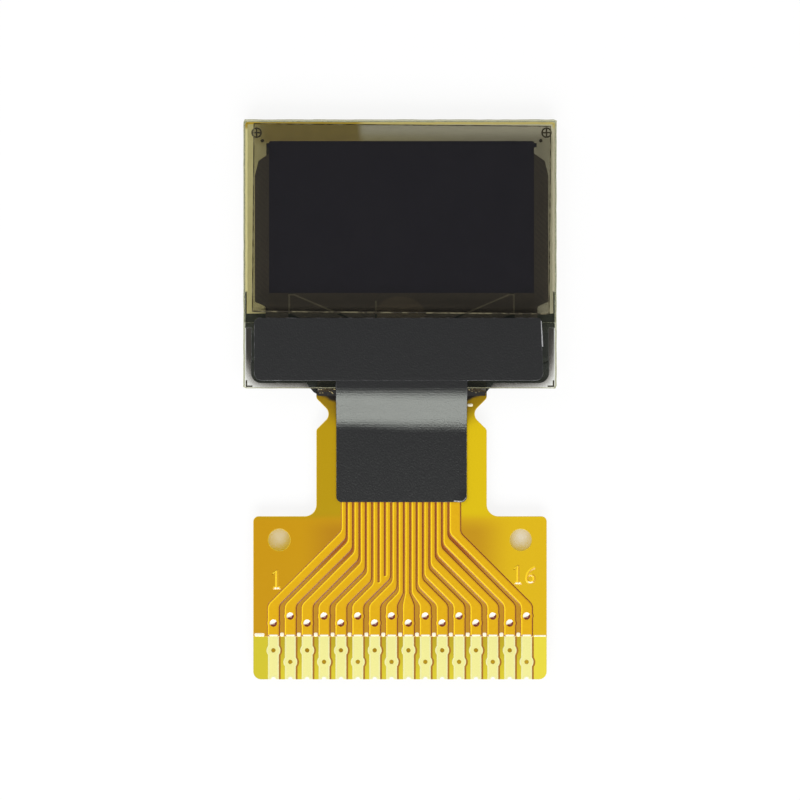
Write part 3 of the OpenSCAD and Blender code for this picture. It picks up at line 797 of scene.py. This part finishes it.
def base_paint():
    """Bare base film between and beside the contacts."""
    paint = Paint("bare_base")
    x, y = paint.along("X"), paint.along("Y")
    # Lighter towards the right: painted light
    side = left_to_right(paint, rgb(206, 192, 44), rgb(228, 213, 62))
    between = paint.blend(paint.rise(y, -16.2, -17.8), rgb(186, 165, 30), rgb(214, 198, 44))
    tone = paint.blend(paint.rise(paint.span(x), 5.15, 4.95), side, between)
    tone = taped(paint, tone, rgb(30, 27, 24))
    return paint.plain(tone, 0.3, Normal=paint.bump(paint.noise(0.4, 3), 0.02, 0.2))


def contact_shadow_paint():
    """Painted shadow on the base film beside a contact."""
    return speckled("contact_shadow", 0.08, 2, rgb(150, 92, 14), rgb(178, 122, 22), 0.4)


def base_edge_paint():
    return amber_edge("base_cut_edge", rgb(206, 182, 56), rgb(230, 208, 90), rgb(34, 30, 24), 0.35)


def plated(name, dark, light, roughness):
    """Thin gold over copper."""
    return speckled(name, 0.05, 3, dark, light, roughness, (0.002, 0.6), Metallic=0.3)


def gold_paint():
    return plated("plated_face", rgb(239, 233, 141), rgb(252, 248, 164), 0.42)


# The rounded rim of a contact, painted brighter than its face as a highlight
def gold_rim_highlight_paint():
    return plated("plated_rim_highlight", rgb(252, 249, 176), rgb(255, 253, 196), 0.35)


# The plated wall of a hole, darker than the contact's face as painted shade
def bore_paint():
    return plated("plated_bore", rgb(150, 104, 12), rgb(176, 130, 22), 0.4)


def tape_paint():
    """Matt black polyester tape."""
    return speckled("black_tape", 0.055, 3, rgb(8, 6, 13), rgb(20, 17, 25), 0.37, (0.009, 1),
                    Specular_IOR_Level=1.0, Specular_Tint=(0.95, 1, 0.92, 1))


def tape_edge_paint():
    """The cut edge of the tape, greyer than its face. Its pale patches are partly the pale cut edge itself
    and partly painted glints.
    """
    paint = Paint("tape_cut_edge")
    pale_patches = paint.rise(paint.noise(0.25, 3), 0.5, 0.66)
    return paint.plain(paint.blend(pale_patches, rgb(44, 44, 50), rgb(120, 120, 124)), 0.35)


def tape_glint_paint():
    """A painted highlight along a cut edge of the tape."""
    return speckled("tape_edge_glint", 0.12, 4, rgb(84, 84, 88), rgb(212, 212, 214), 0.4)


def record_materials():
    """The paint of each material slot that CAD nodes show as they are."""
    return {
        "cap_glass": cap_glass_paint(),
        "screen": screen_paint(),
        "routing": routing_paint(),
        "seal": seal_paint(),
        "desiccant": desiccant_paint(),
        "silicon": silicon_paint(),
        "bond": bond_paint(),
        "resin": resin_paint(),
        "copper": gold_paint(),
    }


def dress_cad_nodes():
    """Gives each CAD node that is shown the material of its slot in the record."""
    materials = record_materials()
    for part in frame["record"]["subparts"]:
        if part["material_slot"] not in materials:
            continue
        for place in frame["nodes"][part["node"]].material_slots:
            place.material = materials[part["material_slot"]]


# ---- glasses, polarizer and marks

def front_glass():
    """The glass that carries the screen. Its cut edges are uneven, and its corners are nicked."""
    chamfer = 0.03
    spacing = 0.12
    wander = 0.012
    corner_nick = 0.05
    rim = 0.09
    loop = []
    ends = rectangle(GLASS_LOW.x, GLASS_HIGH.x, GLASS_LOW.y, GLASS_HIGH.y)
    for start, end in zip(ends, ends[1:] + ends[:1]):
        steps = round((end - start).length / spacing)
        for k in range(steps):
            at = start.lerp(end, k / steps)
            inward = Vector((-(end - start).y, (end - start).x)).normalized()
            nick = corner_nick if k == 0 else 0
            depth = wander * noise.noise(Vector((at.x, at.y, 0)) * 2.3) + wander
            loop.append(at + inward * (depth + nick))
    shell = Shell()
    rings = [shell.ring(grown(loop, -chamfer), GLASS_LOW.z + AIR), shell.ring(loop, GLASS_LOW.z + chamfer),
             shell.ring(loop, GLASS_HIGH.z - chamfer), shell.ring(grown(loop, -chamfer), GLASS_HIGH.z)]
    shell.walls(rings, 1)
    inside = shell.ring(grown(loop, -chamfer - rim), GLASS_LOW.z + AIR)
    shell.wall(inside, rings[0], 2)
    shell.cap(inside, up=False)
    shell.cap(rings[-1])
    paints = [glass_paint(), cut_edge_paint(), seam_paint()]
    piece("top_glass", shell, paints, "front_glass", "front_glass")


def polarizer():
    """The polarizing film, laid on with a slight turn."""
    turn = math.radians(-0.5)
    middle = (POLARIZER_LOW + POLARIZER_HIGH) / 2
    size = POLARIZER_HIGH - POLARIZER_LOW
    width = (size.x * math.cos(turn) + size.y * math.sin(turn)) / math.cos(2 * turn)
    height = (size.y * math.cos(turn) + size.x * math.sin(turn)) / math.cos(2 * turn)
    edge = 0.045
    spin = Matrix.Rotation(turn, 2)
    outline = rectangle(-width / 2, width / 2, -height / 2, height / 2, 0.03)
    loop = [spin @ at + middle.xy for at in outline]
    shell = Shell()
    shell.slab(loop, POLARIZER_LOW.z + AIR, POLARIZER_HIGH.z, edge=edge, side_kind=1)
    paints = [polarizer_paint(), polarizer_edge_paint()]
    piece("polarizing_film", shell, paints, "polarizer", "polarizer")


def alignment_marks():
    """A crossed ring and a dot near each upper corner, and an angle at each lower corner."""
    ring_radius = 0.205
    line = 0.06
    corner_inset = 0.06
    corner_mark = 0.26
    low, high = FILM_LOW.z, FILM_HIGH.z
    shell = Shell()
    for side in (-1, 1):
        x = FILM_X + side * (GLASS_HIGH.x - 0.42)
        y = GLASS_HIGH.y - 0.45
        hub = line / 2
        reach = math.asin(hub / (ring_radius - line))
        quarters = []
        for quarter in range(4):
            turn = quarter * math.pi / 2
            corner = Vector((hub, hub))
            corner.rotate(Matrix.Rotation(turn, 2))
            quarters.append([Vector((x, y)) + corner]
                            + arc((x, y), ring_radius - line, turn + reach, turn + math.pi / 2 - reach, 6))
        shell.slab(circle(x, y, ring_radius), low, high, quarters)
        shell.slab(circle(x - side * 0.22, y - 0.31, 0.07, 20), low, high)
        outer = GLASS_HIGH.x - corner_inset
        foot = GLASS_FOOT + corner_inset
        angle = [(outer - corner_mark, foot, 0), (outer, foot, 0), (outer, foot + corner_mark, 0),
                 (outer - line, foot + corner_mark, 0), (outer - line, foot + line, 0),
                 (outer - corner_mark, foot + line, 0)]
        shell.slab(rounded(angle if side > 0 else mirrored(angle)), low, high)
    piece("glass_marks", shell, [marks_paint()], "marks", "alignment_marks")


# ---- tail

def tail_base():
    """The base film, with a painted shadow beside each bare contact."""
    contact_shadow = Vector((0.05, -0.01))
    holes = locating_holes()
    loop = tail_loop(BOND_TOP, TAIL_FOOT, DRILL_RADIUS)
    zones = []
    for pin in PINS:
        for y in (contact_hole_y(pin), covered_hole_y(pin)):
            holes.append(circle(pad_x(pin), y, DRILL_RADIUS, 24))
        outline = grown(contact_loop(pin, TAIL_FOOT + 0.03), 0.02)
        zones.append(([at + contact_shadow for at in outline], 1))
    shell = Shell()
    shell.slab(loop, BASE_LOW.z, BASE_HIGH.z, holes, side_kind=2, zones=zones)
    paints = [base_paint(), contact_shadow_paint(), base_edge_paint()]
    piece("base_film", shell, paints, "base_film", "tail_base")


# The kinds of the cover film's faces, in the order of its paints
FIELD, GAP, FOOTING, SHOULDER, CROWN, DIMPLE, BEAD_AND_GLINT, EDGE = range(8)


def dimple(shell, rim, x, y):
    """The cover film sinks into a plated hole. Its lowest point lies a little to the lower right."""
    steps = ((0.128, 0.005, 0), (0.1, 0.02, 0.15), (0.065, 0.031, 0.5), (0.03, 0.035, 1))
    right = 0.02
    down = 0.035
    last = rim
    for radius, depth, slide in steps:
        ring = shell.ring(circle(x + right * slide, y - down * slide, radius, 24), COVER_TOP - depth)
        shell.wall(last, ring, DIMPLE)
        last = ring
    shell.cap(last, kind=DIMPLE)


def pillow(shell, left, right, foot, top, low, high, kind):
    """A rounded drop of adhesive on the film."""
    radius = min(right - left, top - foot) * 0.4
    loop = rectangle(left, right, foot, top, radius)
    last = shell.ring(loop, low)
    for inset, share in ((0.1, 0.5), (0.22, 0.8), (0.38, 1)):
        ring = shell.ring(grown(loop, -inset * (top - foot)), low + (high - low) * share)
        shell.wall(last, ring, kind)
        last = ring
    shell.cap(last, kind=kind)


def stroke(shell, path, half, low, high, kind):
    """A raised stroke along a path of points, for a figure that shows through the film."""
    left, middle, right = [], [], []
    for k, at in enumerate(path):
        along = (path[min(k + 1, len(path) - 1)] - path[max(k - 1, 0)]).normalized()
        across = Vector((-along.y, along.x)) * half
        left.append(len(shell.points))
        shell.points.append((*(at + across), low))
        middle.append(len(shell.points))
        shell.points.append((*at, high))
        right.append(len(shell.points))
        shell.points.append((*(at - across), low))
    for k in range(len(path) - 1):
        shell.face((middle[k], middle[k + 1], left[k + 1], left[k]), kind)
        shell.face((right[k], right[k + 1], middle[k + 1], middle[k]), kind)
    shell.face((left[0], right[0], middle[0]), kind)
    shell.face((right[-1], left[-1], middle[-1]), kind)


def figures(shell, low, high):
    """The pin numbers 1 and 16, which lie in the copper under the film."""
    height = 0.71
    half = 0.062
    bowl = 0.206

    def line(*places):
        return [Vector(place) for place in places]

    def one(x, y):
        stroke(shell, line((x - 0.13, y + height - 0.15), (x, y + height), (x, y)),
               half, low, high, SHOULDER)
        stroke(shell, line((x - 0.14, y + 0.03), (x + 0.14, y + 0.03)), half, low, high, SHOULDER)
        # A pale stroke on the foot of the 1 is a painted glint
        stroke(shell, line((x - 0.09, y + 0.03), (x + 0.09, y + 0.03)),
               half * 0.7, low + 0.003, high + 0.003, BEAD_AND_GLINT)

    one(pad_x(1) + 0.13, BEND_Y + 0.62)
    x, y = pad_x(PIN_COUNT) - 0.33, BEND_Y + 0.81
    one(x, y)
    middle = Vector((x + 0.48, y + bowl))
    stem = height - bowl
    start = math.radians(105)
    rise = arc(middle + Vector((stem - bowl, 0)), stem - half, start, math.pi, 8)
    ring = arc(middle, bowl - half, math.pi, 3 * math.pi, 24)
    stroke(shell, rise + ring, half, low, high, SHOULDER)
    # A pale stroke along the lower bowl of the 6 is a painted glint
    glint = arc(middle, bowl - half, 1.3 * math.pi, 1.7 * math.pi, 8)
    stroke(shell, glint, half * 0.8, low, high + 0.002, BEAD_AND_GLINT)


def beads(shell, field):
    """The glossy bead along the film's foot, and a drop by the tape's tongue, in a pale paint that is partly
    painted highlight. field is a height.
    """
    half = PAD_WIDTH / 2
    sunk = 0.01

    def drop(left, right, foot, top, proud):
        pillow(shell, left, right, foot, top, field - sunk, field + proud, BEAD_AND_GLINT)

    for pin in PINS:
        x = pad_x(pin)
        pillow(shell, x - half + 0.05, x + half - 0.04, COVER_FOOT + 0.02, COVER_FOOT + 0.1,
               COVER_TOP - 0.012, COVER_TOP + 0.006, BEAD_AND_GLINT)
        if pin < PIN_COUNT:
            middle = x + PAD_PITCH / 2
            drop(middle - 0.085, middle + 0.1, COVER_FOOT, COVER_FOOT + 0.18, 0.012)
    drop(-TAIL_SIDE + 0.03, pad_x(1) - half - 0.12, COVER_FOOT, COVER_FOOT + 0.16, 0.01)
    drop(pad_x(PIN_COUNT) + half + 0.06, TAIL_SIDE - 0.02, COVER_FOOT, COVER_FOOT + 0.08, 0.008)
    drop(FILM_X + 2.52, FILM_X + 2.76, GLASS_FOOT - 0.7, GLASS_FOOT - 0.57, 0.012)


def front_coverlay():
    """The front cover film. It stands up over the copper and falls back between the traces."""
    field = COPPER_HIGH
    foot_spread = 0.04
    crown_inset = 0.045
    edge = 0.02
    dimple_rim = 0.14
    shell = Shell()
    loop = tail_loop(COVER_HIGH.y, COVER_FOOT)
    holes = locating_holes()
    rims = []
    for one, sign in ((loop, -1), (holes[0], 1), (holes[1], 1)):
        low, shoulder, top = (shell.ring(one, COPPER_LOW), shell.ring(one, field - 0.004),
                              shell.ring(grown(one, sign * edge), field))
        for first, second in ((low, shoulder), (shoulder, top)):
            shell.wall(*((first, second) if sign < 0 else (second, first)), EDGE)
        rims.append((low, top))
    shell.cap(rims[0][0], [low for low, _ in rims[1:]], FIELD, up=False)

    feet = []
    for pin in PINS:
        rib = copper_loop(pin, COVER_HIGH.y - 0.1, COVER_FOOT + 0.06)
        foot = shell.ring(grown(rib, foot_spread), field)
        side = shell.ring(rib, COVER_TOP - 0.006)
        crown = shell.ring(grown(rib, -crown_inset), COVER_TOP)
        shell.wall(foot, side, FOOTING)
        shell.wall(side, crown, SHOULDER)
        rim = shell.ring(circle(pad_x(pin), covered_hole_y(pin), dimple_rim, 24), COVER_TOP)
        shell.cap(crown, [rim], CROWN)
        dimple(shell, rim, pad_x(pin), covered_hole_y(pin))
        feet.append(foot)

    first, last = (sum(line_edges(pin)) / 2 for pin in (1, PIN_COUNT))
    side = pad_x(PIN_COUNT)
    fan = [Vector(at) for at in (
        (first, COVER_HIGH.y - 0.2), (first, BEND_Y + side + first), (-side, BEND_Y),
        (-side, COVER_FOOT + 0.1), (side, COVER_FOOT + 0.1), (side, BEND_Y),
        (last, BEND_Y + side - last), (last, COVER_HIGH.y - 0.2))]
    shell.cap(rims[0][1], [top for _, top in rims[1:]] + feet, FIELD, zones=[(fan, GAP)])

    beads(shell, field)
    figures(shell, field, field + 0.016)
    paints = [cover_field_paint(), cover_gap_paint(), cover_footing_shade_paint(), cover_shoulder_highlight_paint(),
              cover_crown_paint(), dimple_paint(), bead_and_glint_paint(), cover_edge_paint()]
    piece("front_cover_film", shell, paints, "coverlay", "front_coverlay")


def back_coverlay():
    """The cover film behind the tail."""
    shell = Shell()
    outline = tail_loop(BACK_COVER_HIGH.y, COVER_FOOT)
    shell.slab(outline, BACK_COVER_LOW.z, BACK_COVER_HIGH.z, locating_holes())
    piece("back_cover_film", shell, [back_cover_paint()], "coverlay", "back_coverlay")


def trace(pin):
    """One pin's gold-plated copper on both sides of the tail, joined by its plated holes."""
    x = pad_x(pin)
    edge = 0.012
    rim = 0.05
    funnel = 0.14
    face = COPPER_HIGH - 0.002
    back_low = BACK_COVER_LOW.z + 0.02
    bore = [circle(x, y, HOLE_RADIUS, 24) for y in (contact_hole_y(pin), covered_hole_y(pin))]
    shell = Shell()

    def bores_at(height):
        return [shell.ring(one, height) for one in bore]

    loop = copper_loop(pin, BOND_TOP - EDGE_GAP, TAIL_FOOT, HOLE_RADIUS)
    foot = shell.ring(loop, COPPER_LOW)
    side = shell.ring(loop, COPPER_HIGH - edge)
    brow = shell.ring(grown(loop, -edge), COPPER_HIGH)
    inner = shell.ring(grown(loop, -rim), face)
    shell.walls([foot, side, brow, inner], 1)
    back = back_contact_loop(pin)
    back_foot = shell.ring(back, back_low)
    back_top = shell.ring(back, BASE_LOW.z)
    shell.wall(back_foot, back_top)
    necks = bores_at(COPPER_LOW)
    feet = bores_at(back_low)
    tops = [shell.ring(bore[0], face), shell.ring(circle(x, covered_hole_y(pin), funnel, 24), face)]
    for run in zip(tops, necks, feet):
        shell.walls(run, 2)
    shell.cap(inner, tops)
    shell.cap(back_foot, feet, up=False)
    shell.cap(foot, bores_at(COPPER_LOW), up=False)
    shell.cap(back_top, bores_at(BASE_LOW.z))
    paints = [gold_paint(), gold_rim_highlight_paint(), bore_paint()]
    piece(f"contact_{pin:02d}", shell, paints, "copper", f"trace_{pin:02d}")


# ---- tapes

TAPE_THICKNESS = 0.05


def ease(share):
    """A share from 0 to 1 that starts and ends gently."""
    share = min(1, max(0, share))
    return share * share * (3 - 2 * share)


def draped(shell, loop, under, thickness, spacing, edge=0.012):
    """A sheet of tape whose under side follows a function of x and y."""
    left, right = min(at.x for at in loop), max(at.x for at in loop)
    foot, head = min(at.y for at in loop), max(at.y for at in loop)
    columns = round((right - left) / spacing)
    rows = round((head - foot) / (spacing / 2))
    lattice = []
    for i in range(1, columns):
        for j in range(1, rows):
            at = Vector((left + (right - left) * i / columns, foot + (head - foot) * j / rows))
            if all((at - edge_at).length > spacing * 0.3 for edge_at in loop):
                lattice.append(at)

    def over(drop):
        return lambda x, y: under(x, y) + thickness - drop

    low = shell.ring(loop, under)
    side = shell.ring(loop, over(edge))
    top = shell.ring(grown(loop, -edge), over(0))
    shell.walls([low, side, top], 1)
    shell.cap(low, up=False, height=under, inner=lattice)
    shell.cap(top, height=over(0), inner=lattice)


def lined(loop, spacing):
    """The loop with points added, so that no edge is longer than spacing."""
    made = []
    for k, at in enumerate(loop):
        after = loop[(k + 1) % len(loop)]
        steps = max(1, math.ceil((after - at).length / spacing))
        made += [at.lerp(after, step / steps) for step in range(steps)]
    return made


def front_tape():
    """The wide strip over the ledge, and the tongue that comes down on to the tail."""
    slope_top = GLASS_FOOT + 0.06
    slope = 1.7
    skew = 0.1
    tongue_half = 2.51
    corner_lift = 0.042
    lift_reach = 0.5
    foot, top = GLASS_FOOT + 0.3, TAPE_HIGH.y
    left, right = FILM_X - tongue_half, FILM_X + tongue_half
    lift_corner = Vector((right, TAPE_LOW.y))

    def under(x, y):
        wave = 0.03 * x + 0.02 * math.sin(1.7 * x + 1)
        height = GLASS_HIGH.z + (COVER_TOP - GLASS_HIGH.z) * ease((slope_top - y) / (slope + wave))
        away = (Vector((x, y)) - lift_corner).length
        return height + corner_lift * ease(1 - away / lift_reach)

    shell = Shell()
    shell.slab(rounded([
        (TAPE_LOW.x, foot, 0.28), (TAPE_HIGH.x, foot, 0.28),
        (TAPE_HIGH.x - skew, top, skew), (TAPE_LOW.x, top, 0.2),
    ]), GLASS_HIGH.z, GLASS_HIGH.z + TAPE_THICKNESS, edge=0.012, side_kind=1)
    tongue = rounded([(left, TAPE_LOW.y, 0.2), (right, TAPE_LOW.y, 0.2),
                      (right, foot + 0.02, 0), (left, foot + 0.02, 0)])
    draped(shell, lined(tongue, 0.1), under, TAPE_THICKNESS, 0.2)
    strip_top = GLASS_HIGH.z + TAPE_THICKNESS
    # A pale streak along the strip's right edge is a painted highlight
    edge_glint = [Vector((TAPE_HIGH.x - skew + 0.01, top - 0.12)), Vector((TAPE_HIGH.x - 0.03, top - 1.1))]
    stroke(shell, edge_glint, 0.022, strip_top - 0.01, strip_top - 0.001, 2)
    # A rolled lip on the tongue's lifted corner, with a painted highlight along it
    lip = arc((right - 0.24, TAPE_LOW.y + 0.24), 0.21, 1.5 * math.pi, 1.9 * math.pi, 8)
    lip = [Vector((right - 0.5, TAPE_LOW.y + 0.05))] + lip
    lifted = under(right - 0.12, TAPE_LOW.y + 0.08) + TAPE_THICKNESS
    stroke(shell, lip, 0.026, lifted - 0.012, lifted + 0.008, 2)
    paints = [tape_paint(), tape_edge_paint(), tape_glint_paint()]
    piece("front_black_tape", shell, paints, "tape", "front_tape")


def back_tape():
    """The tape behind: from the back of the cap glass, over the chip, to the back of the tail."""
    slack = 0.1
    path = [(BACK_TAPE_HIGH.y, 0), (CAP_FOOT, 0),
            (CHIP_HIGH.y + slack, CHIP_LOW.z), (CHIP_LOW.y - slack, CHIP_LOW.z),
            (BOND_TOP + slack, BACK_COVER_LOW.z), (BACK_TAPE_LOW.y, BACK_COVER_LOW.z)]

    def under(x, y):
        for (y_high, z_high), (y_low, z_low) in zip(path, path[1:]):
            if y >= y_low:
                share = min(1, max(0, (y_high - y) / (y_high - y_low)))
                return z_high + (z_low - z_high) * share - TAPE_THICKNESS
        return path[-1][1] - TAPE_THICKNESS

    top, wide_foot, foot = BACK_TAPE_HIGH.y, CAP_FOOT - 0.2, GLASS_FOOT + 0.21
    full, side = GLASS_HIGH.x, GLASS_HIGH.x - 0.25
    neck_side = (NECK_RIGHT - NECK_LEFT) / 2 + EDGE_GAP
    tongue_side = 2.56
    half = [(-full, top, 0), (-full, wide_foot, 0), (-side, wide_foot, 0), (-side, foot, 0.4),
            (-neck_side - 0.3, foot, 0), (-neck_side, foot - 0.35, 0), (-tongue_side, foot - 0.8, 0),
            (-tongue_side, BACK_TAPE_LOW.y, 0.2)]
    shell = Shell()
    draped(shell, lined(rounded(half + mirrored(half)), 0.2), under, TAPE_THICKNESS, 0.3)
    piece("back_black_tape", shell, [tape_paint(), tape_edge_paint()], "tape", "back_tape")


# ---- floor, lights and camera

FLOOR_SIZE = 400
# The floor's distance below the part
FLOOR_GAP = 0.001


def shaded(paint, side, foot, top):
    """1 between the part's sides and from its foot up to top, the ends of a soft edge, and 0 outside."""
    y = paint.along("Y")
    middle = paint.rise(paint.span(paint.along("X")), side + 0.02, side - 0.04)
    return paint.times(paint.times(middle, paint.rise(y, foot - 0.02, foot + 0.04)), paint.rise(y, *top))


def floor_paint():
    """A pale floor that looks white to the camera. Under the clear glass and in the tail's holes it has
    darker and warmer tones, which stand in for the shadow and the colour that the part casts there."""
    reach = 1.6
    shine = 0.87
    paint = Paint("pale_floor")
    near = paint.node("AmbientOcclusion", {"samples": 12}, Distance=reach * MM).outputs["AO"]
    x, y = paint.along("X"), paint.along("Y")
    darker = paint.plus(paint.times(paint.rise(x, 2, -4), 0.2), 0.19)
    higher = paint.times(paint.rise(y, -6.4, -4.3), darker)
    glass = paint.ramp(paint.maths("SUBTRACT", near, higher), (0.32, rgb(58, 54, 52)),
                       (0.43, rgb(116, 111, 108)), (0.55, rgb(196, 192, 190)), (0.65, rgb(250, 250, 250)))
    lighter = paint.times(paint.rise(x, -4, 4), 0.05)
    tail = paint.ramp(paint.plus(near, lighter), (0, rgb(140, 96, 10)), (0.12, rgb(176, 134, 30)),
                      (0.34, rgb(204, 168, 34)), (0.46, rgb(210, 178, 62)), (0.56, rgb(232, 222, 196)),
                      (0.66, rgb(255, 255, 255)))
    glass_top = (GLASS_HIGH.y + 0.02, GLASS_HIGH.y - 0.04)
    tail_top = (TAIL_TOP - 0.1, TAIL_TOP - 0.2)
    tone = paint.blend(shaded(paint, GLASS_HIGH.x, GLASS_FOOT, glass_top), rgb(255, 255, 255), glass)
    tone = paint.blend(shaded(paint, TAIL_SIDE, TAIL_FOOT, tail_top), tone, tail)
    paper = paint.node("BsdfDiffuse", Color=tone).outputs[0]
    white = paint.node("Emission", Color=tone, Strength=1.0).outputs[0]
    path = paint.node("LightPath").outputs
    seen = paint.maths("ADD", path["Is Camera Ray"], path["Is Transmission Ray"], clamp=True)
    seen = paint.maths("ADD", seen, path["Is Glossy Ray"], clamp=True)
    return paint.finish(paint.layered(paint.times(seen, shine), paper, white))


def make_floor():
    half = FLOOR_SIZE / 2 * MM
    height = cad_box[0][2] - FLOOR_GAP * MM
    mesh = bpy.data.meshes.new("floor")
    outline = rectangle(-half, half, -half, half)
    mesh.from_pydata([(*corner, height) for corner in outline], [], [(0, 1, 2, 3)])
    mesh.materials.append(floor_paint())
    floor = placed("floor", mesh)


def make_world(level, overhead):
    """An even white studio that is dimmer straight overhead, where the camera hangs."""
    world = bpy.data.worlds.new("studio")
    bpy.context.scene.world = world
    world.use_nodes = True
    tree = world.node_tree
    background = tree.nodes["Background"]
    background.inputs["Color"].default_value = (1, 1, 1, 1)
    direction = tree.nodes.new("ShaderNodeSeparateXYZ")
    tree.links.new(tree.nodes.new("ShaderNodeTexCoord").outputs["Generated"], direction.inputs[0])
    strength = tree.nodes.new("ShaderNodeMapRange")
    strength.interpolation_type = "SMOOTHSTEP"
    tree.links.new(direction.outputs["Z"], strength.inputs["Value"])
    for name, value in (("From Min", 0.8), ("From Max", 0.96), ("To Min", level), ("To Max", overhead)):
        strength.inputs[name].default_value = value
    tree.links.new(strength.outputs["Result"], background.inputs["Strength"])


def panel(name, aim, tilt, turn, distance, width, height, radiance):
    """A soft lamp at tilt degrees from straight up, turned from +X, that faces aim."""
    lamp = bpy.data.lights.new(name, "AREA")
    lamp.shape = "RECTANGLE"
    lamp.size = width * MM
    lamp.size_y = height * MM
    lamp.energy = radiance * math.pi * lamp.size * lamp.size_y
    tilt, turn = math.radians(tilt), math.radians(turn)
    toward = Vector((math.sin(tilt) * math.cos(turn), math.sin(tilt) * math.sin(turn), math.cos(tilt)))
    holder = placed(name, lamp)
    holder.location = (aim + toward * distance) * MM
    holder.rotation_euler = toward.to_track_quat("Z", "Y").to_euler()


VIEW_CENTRE = Vector((0, -7.07, 1.03))
VIEW_DISTANCE = 70
VIEW_WIDTH = 30.576
SENSOR = 36


def make_camera():
    camera = bpy.data.cameras.new("camera")
    camera.sensor_width = SENSOR
    camera.lens = SENSOR * VIEW_DISTANCE / VIEW_WIDTH
    camera.clip_start = 0.001
    camera.clip_end = 10
    holder = placed("camera", camera)
    holder.location = (VIEW_CENTRE + Vector((0, 0, VIEW_DISTANCE))) * MM
    bpy.context.scene.camera = holder


dress_cad_nodes()
front_glass()
polarizer()
alignment_marks()
tail_base()
front_coverlay()
back_coverlay()
for pin in PINS:
    trace(pin)
front_tape()
back_tape()
make_floor()
make_world(level=0.59, overhead=0.05)
panel("front_panel", VIEW_CENTRE, tilt=45, turn=-90, distance=300, width=280, height=160, radiance=5.8)
panel("side_panel", VIEW_CENTRE, tilt=50, turn=140, distance=300, width=160, height=160, radiance=1.2)
make_camera()
bpy.context.scene.view_settings.view_transform = "Standard"
